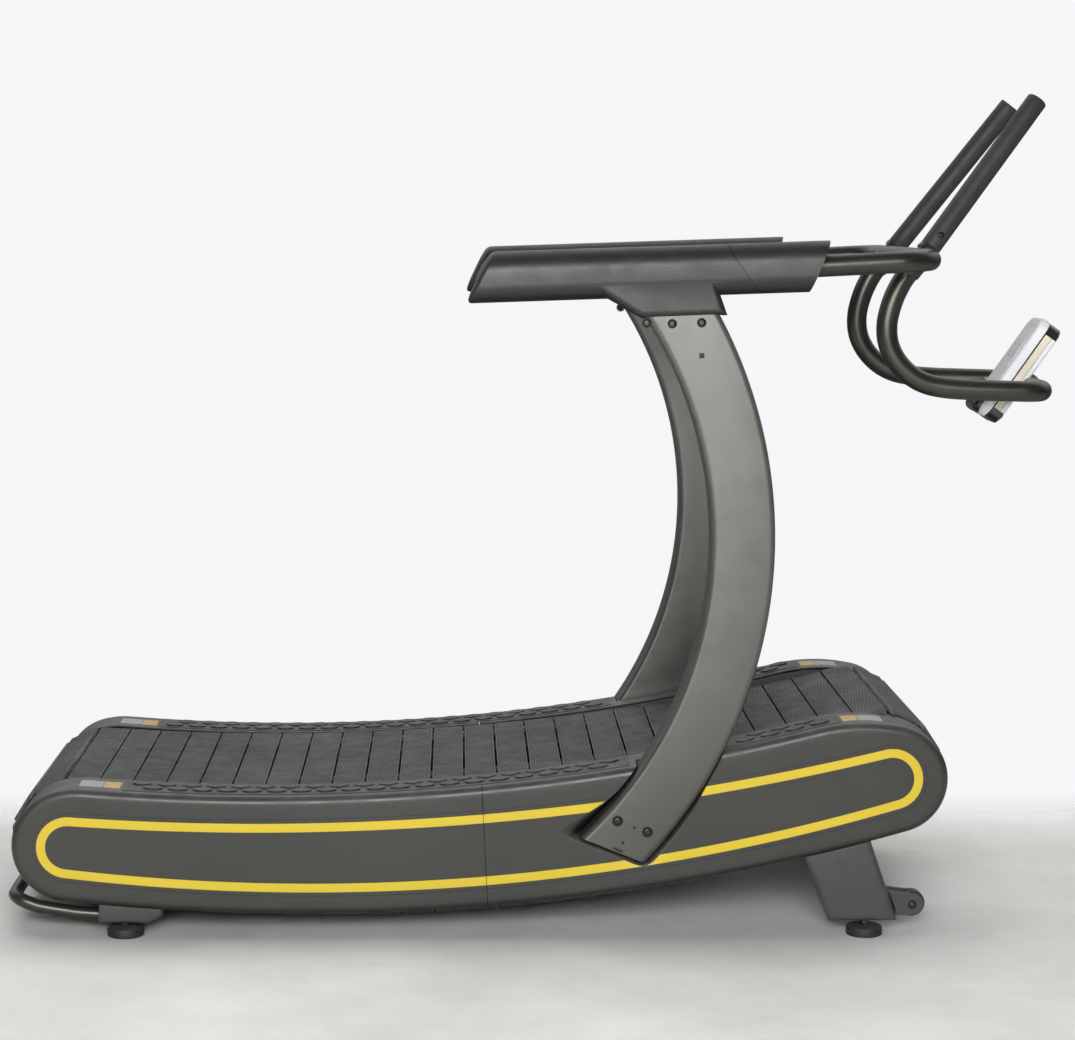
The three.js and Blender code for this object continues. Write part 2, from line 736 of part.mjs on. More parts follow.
// A plate with rounded corners in plan, from z0 to z1.
function plate([x0, x1], halfY, corner, [z0, z1], edge = 0) {
  const steps = 4;
  const centres = [
    [x1 - corner, halfY - corner],
    [x0 + corner, halfY - corner],
    [x0 + corner, corner - halfY],
    [x1 - corner, corner - halfY],
  ];
  const points = centres.flatMap(([x, y], quarter) =>
    Array.from({ length: steps + 1 }, (_, i) => {
      const angle = ((quarter + i / steps) * Math.PI) / 2;
      return new THREE.Vector2(x + corner * Math.cos(angle), y + corner * Math.sin(angle));
    }),
  );
  const geometry = new THREE.ExtrudeGeometry(new THREE.Shape(points), {
    depth: z1 - z0 - 2 * edge,
    bevelEnabled: edge > 0,
    bevelThickness: edge,
    bevelSize: edge,
    bevelOffset: -edge,
    bevelSegments: 2,
  });
  geometry.translate(0, 0, z0 + edge);
  return solid(geometry);
}

function peg(x, y, r, [z0, z1]) {
  const geometry = new THREE.CylinderGeometry(r, r, z1 - z0, 14);
  geometry.rotateX(Math.PI / 2);
  geometry.translate(x, y, (z0 + z1) / 2);
  return solid(geometry);
}

function loopTubeInConsole(radius, halfY) {
  const dx = LOOP_FRONT.x - CONSOLE.x;
  const dz = LOOP_FRONT.z - CONSOLE.z;
  const lean = THREE.MathUtils.degToRad(CONSOLE.lean);
  const x = dx * Math.cos(lean) + dz * Math.sin(lean);
  const z = -dx * Math.sin(lean) + dz * Math.cos(lean);
  return disc({ x, z, r: radius }, [-halfY, halfY], 28);
}

function consoleFront() {
  const { front, seam } = CONSOLE_DEPTH;
  const body = plate([-106, 106], CONSOLE_HALF_Y, 24, [seam, front], 4);
  const pod = plate([-105, -68], 48, 16, [10, 30], 5);
  const window = plate([-46, 88], 44, 8, [15, 25]);
  const holes = Object.values(BUTTONS).map((y) => peg(BUTTON_X, y, BUTTON_R + 0.6, [20, 40]));
  return union(body, pod).subtract(union(window, ...holes));
}

// The clamp that holds the console's back to the loop, and the room the loop takes in it.
function consoleClamp(saddle) {
  const { back } = CONSOLE_DEPTH;
  const strap = loopTubeInConsole(BAR_R + 6, 22);
  const behind = block([-120, 120], [-60, 60], [-90, back - GAP]);
  const lugs = plate([-45, 21], 22, 4, [back - 5, back - GAP]);
  return union(strap, lugs).intersect(behind).subtract(saddle);
}

function addConsole() {
  const { seam, back } = CONSOLE_DEPTH;
  const saddle = loopTubeInConsole(BAR_R + 1, 90);
  const rear = plate([-103, 103], CONSOLE_HALF_Y - 2, 22, [back, seam - GAP], 3).subtract(saddle);
  piece("console_front_shell", leaned(consoleFront()), "shell");
  piece("console_lens", leaned(plate([-45.6, 87.6], 43.6, 7.6, [15.4, 18.6])), "lens");
  piece("console_rear_shell", leaned(rear), "shell");
  piece("console_clamp", leaned(consoleClamp(saddle)), "frame");
  for (const [name, y] of Object.entries(BUTTONS)) {
    piece(`button_${name}`, leaned(peg(BUTTON_X, y, BUTTON_R, [23, 33])), "button");
  }
}

// ---- what it stands on --------------------------------------------------------------
// Slots in a cover's lower wall for the tongues of the foot bracket and the front leg.
function legSlots() {
  const slot = ([x0, x1], z) => block([x0 - 2, x1 + 2], [240, 265], [z, z + 70]);
  return union(slot(REAR_TONGUE_X, 30), slot(LEG_TONGUE_X, 135));
}

const tongue = (x, z) => block(x, [SIDE_PLATE_Y[1] + GAP, TONGUE_Y1], z);

function underCover(part) {
  return part.subtract(prism(outlinePoints(coverOutline(), -GAP), [250, 400]));
}

function studHole(x, z1) {
  const y = [FOOT_Y - STUD_BORE, FOOT_Y + STUD_BORE];
  return block([x - STUD_BORE, x + STUD_BORE], y, [20, z1]);
}

function rearFootBracket() {
  const outline = [
    [-706, 27],
    [-618, 27],
    [-594, 38],
    [-592, 75],
    [-706, 75],
  ];
  const body = underCover(prism(outline, LEG_Y, 3, 1));
  return union(body, tongue(REAR_TONGUE_X, [32, 96])).subtract(studHole(-FOOT_X, 60));
}

function frontLeg() {
  const outline = [
    [549, 250],
    [549, 144],
    [595, 29],
    [718, 29],
    [666, 175],
    [666, 250],
  ];
  const body = underCover(prism(outline, LEG_Y, 10, 3));
  return union(body, tongue(LEG_TONGUE_X, [130, 215])).subtract(studHole(FOOT_X, 62));
}

// A levelling foot: its pad and its stud, turned about the vertical.
function foot(x) {
  const profile = [
    [0, 0],
    [32.5, 0],
    [32.5, 16],
    [27, 22],
    [6, 22],
    [6, 46],
    [0, 46],
  ];
  const geometry = new THREE.LatheGeometry(
    profile.map(([r, z]) => new THREE.Vector2(r, z)),
    16,
  );
  geometry.rotateX(Math.PI / 2);
  return solid(geometry).translate([x, FOOT_Y, 0]);
}

function wheelBracket() {
  const [y0, y1] = WHEEL.y;
  const noseR = 20;
  const steps = 8;
  const nose = Array.from({ length: steps + 1 }, (_, i) => {
    const angle = (-0.55 + (1.1 * i) / steps) * Math.PI;
    return [WHEEL.x + noseR * Math.cos(angle), WHEEL.z + noseR * Math.sin(angle)];
  });
  const ear = (y) => prism([[716, 36], ...nose, [702, 84], [701, 78.5]], y);
  const heel = [
    [713.5, 43.5],
    [718, 43.5],
    [703, 84],
    [699, 84],
  ];
  const base = prism(heel, [y0 - 7, y1 + 7]);
  const pin = disc({ ...WHEEL, r: 5 }, [y0 - 8, y1 + 8], 12);
  return union(ear([y0 - 7, y0 - 2]), ear([y1 + 2, y1 + 7]), base, pin);
}

function wheel() {
  const bore = disc({ ...WHEEL, r: 5.7 }, [290, 340], 16);
  return disc(WHEEL, WHEEL.y, 24).subtract(bore);
}

// The bar behind the machine that it is lifted by.
function liftBar() {
  const flip = (p) => at(p.x, -p.y, p.z);
  const half = [
    at(-708, 300, 33),
    at(-752, 300, 36),
    at(-791, 300, 42),
    at(-820, 300, 47.5),
  ];
  const corner = at(-864, 300, 64);
  const path = [...half, ...bend(half[3], corner, flip(corner), 30)];
  return tube([...path, ...path.map(flip).reverse()], LIFT_R, 10);
}

function addStand() {
  pair("rear_foot_bracket", rearFootBracket(), "frame");
  pair("front_leg", frontLeg(), "frame");
  pair("foot_rear", foot(-FOOT_X), "rubber");
  pair("foot_front", foot(FOOT_X), "rubber");
  pair("wheel_bracket", wheelBracket(), "frame");
  pair("wheel", wheel(), "rubber");
  piece("rear_lift_bar", liftBar(), "tube");
}

addFrame();
addBelt();
addDrum("front", FRONT_AXLE);
addDrum("rear", REAR_AXLE);
addCovers();
pair("upright", upright(), "upright");
addArms();
addFrontBar();
addConsoleLoop();
addConsole();
addStand();

export default root;
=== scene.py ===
"""Looks for the curved manual treadmill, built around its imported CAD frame."""

import math
import random

import bmesh
import bpy
from mathutils import Matrix, Vector


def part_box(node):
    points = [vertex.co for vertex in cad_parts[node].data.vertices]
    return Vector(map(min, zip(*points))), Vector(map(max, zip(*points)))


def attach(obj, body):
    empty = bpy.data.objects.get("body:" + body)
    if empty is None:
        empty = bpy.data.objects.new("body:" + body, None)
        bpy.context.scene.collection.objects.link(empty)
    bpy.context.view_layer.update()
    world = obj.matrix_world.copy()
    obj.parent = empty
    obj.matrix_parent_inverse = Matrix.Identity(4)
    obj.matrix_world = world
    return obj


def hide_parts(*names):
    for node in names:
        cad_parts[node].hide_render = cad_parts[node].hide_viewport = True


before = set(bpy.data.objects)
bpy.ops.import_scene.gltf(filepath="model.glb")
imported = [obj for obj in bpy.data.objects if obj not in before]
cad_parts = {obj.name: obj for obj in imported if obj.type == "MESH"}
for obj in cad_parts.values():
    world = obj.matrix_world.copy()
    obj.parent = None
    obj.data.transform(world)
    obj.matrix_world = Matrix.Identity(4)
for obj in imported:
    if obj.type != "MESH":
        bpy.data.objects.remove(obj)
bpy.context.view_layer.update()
MM = 0.001
SIDES = {"near": -1, "far": 1}


def middle(node):
    low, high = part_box(node)
    return (low + high) / 2


# Shapes are written in millimetres from midway between the feet, as the CAD's source is.
ORIGIN_X = (middle("foot_front_near").x + middle("foot_rear_near").x) / 2


def place(x, y, z):
    return Vector((ORIGIN_X + x * MM, y * MM, z * MM))


# ---- curves and outlines ------------------------------------------------------------
def bearing(a, b):
    return math.atan2(b[1] - a[1], b[0] - a[0])


def polar(centre, radius, angle):
    return (centre[0] + radius * math.cos(angle), centre[1] + radius * math.sin(angle))


def turns(count, phase=0.0):
    """The angles of count points round a full turn."""
    return [phase + 2 * math.pi * k / count for k in range(count)]


def at_depth(outline, y):
    """An outline of the side view as points at a distance along Y."""
    return [(x, y, z) for x, z in outline]


def ring_round(centre, side, up, radius, count):
    """Points round a centre in the plane of side and up."""
    return [
        tuple(centre + (side * math.cos(t) + up * math.sin(t)) * radius) for t in turns(count)
    ]


def meeting(a, from_a, b, from_b, turn):
    """The point at distance from_a of a and from_b of b, left of the line a-b if turn is 1."""
    apart = math.dist(a, b)
    along = (from_a**2 - from_b**2 + apart**2) / (2 * apart)
    off = turn * math.sqrt(from_a**2 - along**2)
    ux, uz = (b[0] - a[0]) / apart, (b[1] - a[1]) / apart
    return (a[0] + ux * along - uz * off, a[1] + uz * along + ux * off)


class Arc:
    """One arc of an anticlockwise outline; side is 1 where it bulges out and -1 where it dips."""

    def __init__(self, centre, radius, side, start, end, steps):
        while side * (end - start) < 0:
            end += side * 2 * math.pi
        self.centre, self.radius, self.side = centre, radius, side
        self.start, self.end, self.steps = start, end, steps

    def at(self, angle, depth=0.0):
        return polar(self.centre, self.radius - self.side * depth, angle)

    def normal(self, angle):
        return (self.side * math.cos(angle), self.side * math.sin(angle))

    def angles(self, count):
        return [self.start + (self.end - self.start) * i / count for i in range(count + 1)]


def chain(arcs, depth):
    return [a.at(angle, depth) for a in arcs for angle in a.angles(a.steps)[:-1]]


def inset(points, depth):
    """A closed anticlockwise outline moved inwards by depth, mitred at its corners."""
    moved = []
    for i, p in enumerate(points):
        before, after = points[i - 1], points[(i + 1) % len(points)]
        first = Vector((p[0] - before[0], p[1] - before[1])).normalized()
        second = Vector((after[0] - p[0], after[1] - p[1])).normalized()
        n1, n2 = Vector((-first.y, first.x)), Vector((-second.y, second.x))
        mitre = (n1 + n2).normalized()
        reach = depth / max(mitre.dot(n1), 0.35)
        moved.append((p[0] + mitre.x * reach, p[1] + mitre.y * reach))
    return moved


def filleted(corners, steps=8):
    """A closed outline from (a, b, radius) corners, each rounded by its own radius."""
    points = []
    for i, (a, b, radius) in enumerate(corners):
        corner = Vector((a, b))
        before = Vector(corners[i - 1][:2])
        after = Vector(corners[(i + 1) % len(corners)][:2])
        if not radius:
            points.append((a, b))
            continue
        into, out = (before - corner).normalized(), (after - corner).normalized()
        half = into.angle(out) / 2
        start = corner + into * (radius / math.tan(half))
        centre = corner + (into + out).normalized() * (radius / math.sin(half))
        arm = start - centre
        turn = math.pi - 2 * half
        sign = 1 if into.x * out.y - into.y * out.x < 0 else -1
        for k in range(steps + 1):
            spin = Matrix.Rotation(sign * turn * k / steps, 2)
            points.append(tuple(centre + spin @ arm))
    return points


def curved_corner(before, corner, after, steps=6):
    """Points from before to after that bend towards corner."""
    points = []
    for k in range(steps + 1):
        t = k / steps
        weights = ((1 - t) ** 2, 2 * t * (1 - t), t * t)
        points.append(
            tuple(sum(w * p[i] for w, p in zip(weights, (before, corner, after))) for i in (0, 1))
        )
    return points


def bend(before, corner, after, radius, steps=14):
    """Points round a bend of that radius in space."""
    into, out = (before - corner).normalized(), (after - corner).normalized()
    half = into.angle(out) / 2
    centre = corner + (into + out).normalized() * (radius / math.sin(half))
    start = corner + into * (radius / math.tan(half)) - centre
    axis = start.cross(corner - centre).normalized()
    turn = math.pi - 2 * half
    return [Matrix.Rotation(turn * k / steps, 3, axis) @ start + centre for k in range(steps + 1)]


def smooth_path(marks, steps=6):
    """A Catmull-Rom curve through marks."""
    ends = [2 * marks[0] - marks[1], *marks, 2 * marks[-1] - marks[-2]]
    path = []
    for a, b, c, d in zip(ends, ends[1:], ends[2:], ends[3:]):
        slope, curve, twist = c - a, 2 * a - 5 * b + 4 * c - d, 3 * b - a - 3 * c + d
        for k in range(steps):
            t = k / steps
            path.append(0.5 * (2 * b + slope * t + curve * t**2 + twist * t**3))
    return [*path, marks[-1]]


# ---- meshes -------------------------------------------------------------------------
def shade(mesh, sharp):
    mesh.shade_smooth()
    mesh.set_sharp_from_angle(angle=math.radians(sharp))


def new_object(name, points, faces, sharp=32):
    """A mesh from points in millimetres, its faces turned outwards."""
    mesh = bpy.data.meshes.new(name)
    mesh.from_pydata([place(*p) for p in points], [], faces)
    work = bmesh.new()
    work.from_mesh(mesh)
    bmesh.ops.remove_doubles(work, verts=work.verts, dist=1e-6)
    bmesh.ops.recalc_face_normals(work, faces=work.faces)
    work.to_mesh(mesh)
    work.free()
    shade(mesh, sharp)
    made = bpy.data.objects.new(name, mesh)
    bpy.context.scene.collection.objects.link(made)
    return made


def loft(rings, first=0, closed=False):
    """Faces that join rings of equal length, numbered from first, with a cap on each end."""
    size = len(rings[0])
    faces = []
    pairs = len(rings) if closed else len(rings) - 1
    for i in range(pairs):
        a, b = first + i * size, first + (i + 1) % len(rings) * size
        for k in range(size):
            n = (k + 1) % size
            faces.append((a + k, a + n, b + n, b + k))
    if not closed:
        faces.append(tuple(range(first + size - 1, first - 1, -1)))
        last = first + (len(rings) - 1) * size
        faces.append(tuple(range(last, last + size)))
    return faces


def lofted(name, rings, sharp=32, closed=False):
    points = [p for ring in rings for p in ring]
    return new_object(name, points, loft(rings, 0, closed), sharp)


def edge_rings(radius, steps):
    """(depth, distance from the end) pairs of a quarter round of that radius."""
    quarter = [math.pi / 2 * k / steps for k in range(steps + 1)]
    return [(radius * (1 - math.cos(a)), radius * (1 - math.sin(a))) for a in quarter]


def slab(name, outline, low, high, rounds=(0.0, 0.0), put=None, steps=6, sharp=32):
    """An outline given thickness from low to high, with rounded rims; put maps (a, b, w) to space."""
    rings = []
    for end, way, radius in ((low, 1, rounds[0]), (high, -1, rounds[1])):
        rims = edge_rings(radius, steps) if radius else [(0.0, 0.0)]
        rims = [*rims, (rims[-1][0] + max(0.6, radius * 0.15), rims[-1][1])]
        side = [[put(a, b, end + way * off) for a, b in inset(outline, d)] for d, off in rims]
        rings += side[::-1] if way > 0 else side
    return lofted(name, rings, sharp)


def across(sign):
    """Puts an outline in the side view's plane, its thickness along sign times Y."""
    return lambda a, b, w: (a, sign * w, b)


def frames_along(path):
    """A side and an up vector at each point of a path, turned as little as possible."""
    tangents = []
    for i in range(len(path)):
        ahead, behind = path[min(i + 1, len(path) - 1)], path[max(i - 1, 0)]
        tangents.append((ahead - behind).normalized())
    side = tangents[0].orthogonal().normalized()
    frames = []
    for tangent in tangents:
        side = (side - tangent * side.dot(tangent)).normalized()
        frames.append((side, tangent.cross(side)))
    return frames


def tube(name, path, radius, sides=28, rim=2.0, sharp=32):
    """A round bar along a path, with a small round at each end; radius may be a list."""
    radii = radius if isinstance(radius, list) else [radius] * len(path)
    start, end = (path[1] - path[0]).normalized(), (path[-1] - path[-2]).normalized()
    rims = edge_rings(rim, 3)
    head = [(path[0] + start * off, radii[0] - d) for d, off in rims[::-1]]
    tail = [(path[-1] - end * off, radii[-1] - d) for d, off in rims]
    line = [*head, *zip(path[1:-1], radii[1:-1]), *tail]
    frames = frames_along(path)
    order = [0] * len(head) + list(range(1, len(path) - 1)) + [len(path) - 1] * len(tail)
    rings = [ring_round(point, *frames[k], r, sides) for (point, r), k in zip(line, order)]
    return lofted(name, rings, sharp)


def turned(name, profile, centre, axis, sides=36, sharp=32):
    """A shape turned about an axis from (radius, height) pairs; a zero radius closes an end."""
    axis = Vector(axis).normalized()
    side = axis.orthogonal().normalized()
    up = axis.cross(side)
    rings = [
        ring_round(Vector(centre) + axis * height, side, up, max(radius, 0.01), sides)
        for radius, height in profile
    ]
    closed = profile[0] == profile[-1]
    return lofted(name, rings[:-1] if closed else rings, sharp, closed=closed)


def applied(target, sharp=32):
    """The object with its modifiers applied to its mesh."""
    bpy.context.view_layer.update()
    graph = bpy.context.evaluated_depsgraph_get()
    mesh = bpy.data.meshes.new_from_object(target.evaluated_get(graph))
    target.modifiers.clear()
    target.data = mesh
    shade(mesh, sharp)
    return target


def carve(target, tool, operation="DIFFERENCE", sharp=32, solver="EXACT"):
    """Cuts, joins or crosses target with tool, which is used up."""
    modifier = target.modifiers.new("carve", "BOOLEAN")
    modifier.operation, modifier.object, modifier.solver = operation, tool, solver
    applied(target, sharp)
    bpy.data.objects.remove(tool)
    return target


def copy_of(source, name):
    made = source.copy()
    made.data = source.data.copy()
    made.name = name
    bpy.context.scene.collection.objects.link(made)
    return made


def cut_plane(target, point, normal, sharp=32):
    """Keeps what lies behind the plane and closes the cut."""
    work = bmesh.new()
    work.from_mesh(target.data)
    everything = [*work.verts, *work.edges, *work.faces]
    bmesh.ops.bisect_plane(
        work, geom=everything, plane_co=point, plane_no=normal, clear_outer=True, dist=1e-7
    )
    bmesh.ops.holes_fill(work, edges=[e for e in work.edges if e.is_boundary])
    bmesh.ops.recalc_face_normals(work, faces=work.faces)
    work.to_mesh(target.data)
    work.free()
    shade(target.data, sharp)
    return target


def joined(name, parts, sharp=32):
    """Several meshes as one."""
    work = bmesh.new()
    for part in parts:
        work.from_mesh(part.data)
    mesh = bpy.data.meshes.new(name)
    work.to_mesh(mesh)
    work.free()
    for part in parts:
        bpy.data.objects.remove(part)
    shade(mesh, sharp)
    made = bpy.data.objects.new(name, mesh)
    bpy.context.scene.collection.objects.link(made)
    return made


# ---- materials ----------------------------------------------------------------------
class Graph:
    """A material's node tree, with short calls for the nodes used here."""

    def __init__(self, name):
        self.material = bpy.data.materials.new(name)
        self.material.use_nodes = True
        self.tree = self.material.node_tree
        self.shader = self.tree.nodes["Principled BSDF"]
        self.at = self.node("ShaderNodeTexCoord").outputs["Object"]

    def node(self, kind, inputs=(), **settings):
        made = self.tree.nodes.new(kind)
        for key, value in settings.items():
            setattr(made, key, value)
        for key, value in dict(inputs).items():
            self.feed(made.inputs[key], value)
        return made

    def feed(self, socket, value):
        if isinstance(value, bpy.types.NodeSocket):
            self.tree.links.new(value, socket)
        else:
            socket.default_value = value

    def math(self, operation, *values):
        made = self.node("ShaderNodeMath", operation=operation)
        for socket, value in zip(made.inputs, values):
            self.feed(socket, value)
        return made.outputs[0]

    def noise(self, scale, detail=3.0, roughness=0.55, at=None):
        values = {"Vector": at or self.at, "Scale": scale, "Detail": detail, "Roughness": roughness}
        return self.node("ShaderNodeTexNoise", values).outputs["Fac"]

    def span(self, value, low, high, to_low, to_high):
        values = {0: value, 1: low, 2: high, 3: to_low, 4: to_high}
        made = self.node("ShaderNodeMapRange", clamp=True)
        for key, item in values.items():
            self.feed(made.inputs[key], item)
        return made.outputs[0]

    def mix(self, share, first, second):
        made = self.node("ShaderNodeMix", data_type="RGBA")
        self.feed(made.inputs[0], share)
        self.feed(made.inputs[6], first)
        self.feed(made.inputs[7], second)
        return made.outputs[2]

    def bump(self, height, distance):
        before = self.shader.inputs["Normal"].links
        made = self.node("ShaderNodeBump", {"Height": height, "Distance": distance})
        if before:
            self.tree.links.new(before[0].from_socket, made.inputs["Normal"])
        self.tree.links.new(made.outputs["Normal"], self.shader.inputs["Normal"])


def shaded(colour, factor):
    return (*(min(1.0, c * factor) for c in colour), 1.0)


DUST = (0.33, 0.32, 0.30, 1.0)


def surface(
    name,
    colour,
    roughness,
    metallic=0.0,
    spread=0.18,
    patch=5.0,
    grain=(900.0, 0.00006),
    speck=0.0,
    dust=0.12,
    wear=0.0,
    coat=0.0,
    grime=None,
    under=0.0,
):
    """A painted, moulded or rubber surface: patchy tone, fine grain, dust on top, and edges lightened
    partly by wear and partly by a painted edge highlight.

    grime is (low, high, share): how far painted shade darkens it near the floor;
    under paints shade on what faces down; speck paints glints on the tops of the grain.
    """
    g = Graph(name)
    normal = g.node("ShaderNodeNewGeometry").outputs["Normal"]
    facing = g.node("ShaderNodeSeparateXYZ", {0: normal}).outputs[2]
    patches = g.span(g.noise(patch), 0.3, 0.7, 0.0, 1.0)
    tone = g.mix(patches, shaded(colour, 1 - spread), shaded(colour, 1 + spread))
    fine = g.noise(grain[0], 2.0)
    # Painted glints: the peaks of the fine grain are lightened as if they caught the light.
    if speck:
        tone = g.mix(g.span(fine, 0.56, 0.72, 0.0, speck), tone, shaded(colour, 3.2))
    if dust:
        settled = g.span(g.noise(38.0, 6.0), 0.35, 0.7, 0.3, 1.0)
        lying = g.math("MULTIPLY", g.span(facing, 0.25, 1.0, 0.0, dust), settled)
        tone = g.mix(lying, tone, DUST)
    # Convex edges are lightened, partly as worn paint and partly as a painted edge highlight.
    if wear:
        pointed = g.node("ShaderNodeNewGeometry").outputs["Pointiness"]
        edge_patches = g.span(g.noise(60.0), 0.4, 0.6, 0.2, 1.0)
        edge = g.math("MULTIPLY", g.span(pointed, 0.53, 0.62, 0.0, wear), edge_patches)
        tone = g.mix(edge, tone, shaded(colour, 3.0))
    # Painted shade: the colour darkens towards the floor, where less light reaches.
    if grime:
        low, high, share = grime
        height = g.node("ShaderNodeSeparateXYZ", {0: g.at}).outputs[2]
        tone = g.mix(g.span(height, low, high, share, 0.0), tone, shaded(colour, 0.1))
    # Painted shade: faces that turn downwards are darkened, standing for the shade beneath the machine.
    if under:
        tone = g.mix(g.span(facing, -0.75, -0.05, under, 0.0), tone, shaded(colour, 0.1))
    g.feed(g.shader.inputs["Base Color"], tone)
    smooth, rough = max(0.05, roughness - 0.06), min(1.0, roughness + 0.08)
    g.feed(g.shader.inputs["Roughness"], g.span(g.noise(24.0, 5.0), 0.3, 0.7, smooth, rough))
    g.shader.inputs["Metallic"].default_value = metallic
    g.shader.inputs["Coat Weight"].default_value = coat
    g.bump(fine, grain[1])
    return g.material


def slat_material():
    """Moulded rubber with fine staggered studs; slat_at holds (mm along, mm over, own tone)."""
    g = Graph("slat_rubber")
    where = g.node("ShaderNodeAttribute", attribute_name="slat_at").outputs["Vector"]
    split = g.node("ShaderNodeSeparateXYZ", {0: where})
    along, over, own = split.outputs
    rate = 2 * math.pi / 6.4
    rising = g.math("SINE", g.math("MULTIPLY", g.math("ADD", along, over), rate))
    falling = g.math("SINE", g.math("MULTIPLY", g.math("SUBTRACT", along, over), rate))
    stud = g.span(g.math("MULTIPLY", rising, falling), -0.1, 0.45, 0.0, 1.0)
    slant = g.math("ADD", along, g.math("MULTIPLY", over, 0.12))
    rib = g.math("SINE", g.math("MULTIPLY", slant, 2 * math.pi / 5.6))
    stud = g.math("MULTIPLY", g.math("ADD", stud, 0.35), g.span(rib, -0.4, 0.5, 0.12, 1.0))
    inside = g.math(
        "MULTIPLY",
        g.span(g.math("ABSOLUTE", along), 23.5, 24.5, 1.0, 0.0),
        g.span(g.math("ABSOLUTE", over), 226.0, 228.0, 1.0, 0.0),
    )
    stud = g.math("MULTIPLY", stud, inside)
    worn = g.span(g.noise(6.0, 3.0), 0.35, 0.65, 0.3, 1.0)
    base = g.mix(own, (0.024, 0.024, 0.025, 1.0), (0.038, 0.039, 0.039, 1.0))
    tone = g.mix(g.math("MULTIPLY", stud, worn), base, (0.17, 0.172, 0.173, 1.0))
    rim = g.span(g.math("ABSOLUTE", along), 25.6, 26.4, 0.0, 0.8)
    tone = g.mix(g.math("MULTIPLY", rim, worn), tone, (0.26, 0.26, 0.255, 1.0))
    end = g.span(g.math("ABSOLUTE", over), 228.0, 230.0, 0.0, 0.6)
    tone = g.mix(end, tone, (0.10, 0.101, 0.101, 1.0))
    g.feed(g.shader.inputs["Base Color"], tone)
    g.feed(g.shader.inputs["Roughness"], g.span(g.noise(30.0), 0.3, 0.7, 0.5, 0.7))
    g.shader.inputs["Specular IOR Level"].default_value = 0.4
    g.bump(stud, 0.0004)
    g.bump(g.noise(700.0, 2.0), 0.00006)
    return g.material


def sticker_material(name, paper, ink, share):
    """Printed film: pale paper with blocks and bars of ink, none of them letters."""
    g = Graph(name)
    cells = g.node("ShaderNodeTexVoronoi", {"Vector": g.at, "Scale": 170.0}, distance="CHEBYCHEV")
    block = g.span(cells.outputs["Distance"], share, share + 0.08, 1.0, 0.0)
    tone = g.mix(g.math("MULTIPLY", block, 0.75), paper, ink)
    scratch = g.span(g.noise(240.0, 5.0), 0.6, 0.75, 0.0, 0.5)
    g.feed(g.shader.inputs["Base Color"], g.mix(scratch, tone, (0.2, 0.2, 0.19, 1.0)))
    g.feed(g.shader.inputs["Roughness"], g.span(g.noise(60.0), 0.3, 0.7, 0.35, 0.6))
    g.bump(g.noise(400.0), 0.00008)
    return g.material


def steel_material(name, colour, roughness):
    """Turned or brushed metal, with fine lines and darker oily patches."""
    g = Graph(name)
    stretched = g.node("ShaderNodeMapping", {"Vector": g.at, "Scale": (40.0, 1.0, 40.0)}).outputs[0]
    lines = g.noise(60.0, 4.0, 0.6, stretched)
    tone = g.mix(lines, shaded(colour, 0.75), shaded(colour, 1.15))
    tone = g.mix(g.span(g.noise(14.0), 0.5, 0.75, 0.0, 0.35), tone, shaded(colour, 0.35))
    g.feed(g.shader.inputs["Base Color"], tone)
    g.shader.inputs["Metallic"].default_value = 1.0
    g.feed(g.shader.inputs["Roughness"], g.span(lines, 0.3, 0.7, roughness - 0.06, roughness + 0.1))
    g.bump(lines, 0.00005)
    return g.material


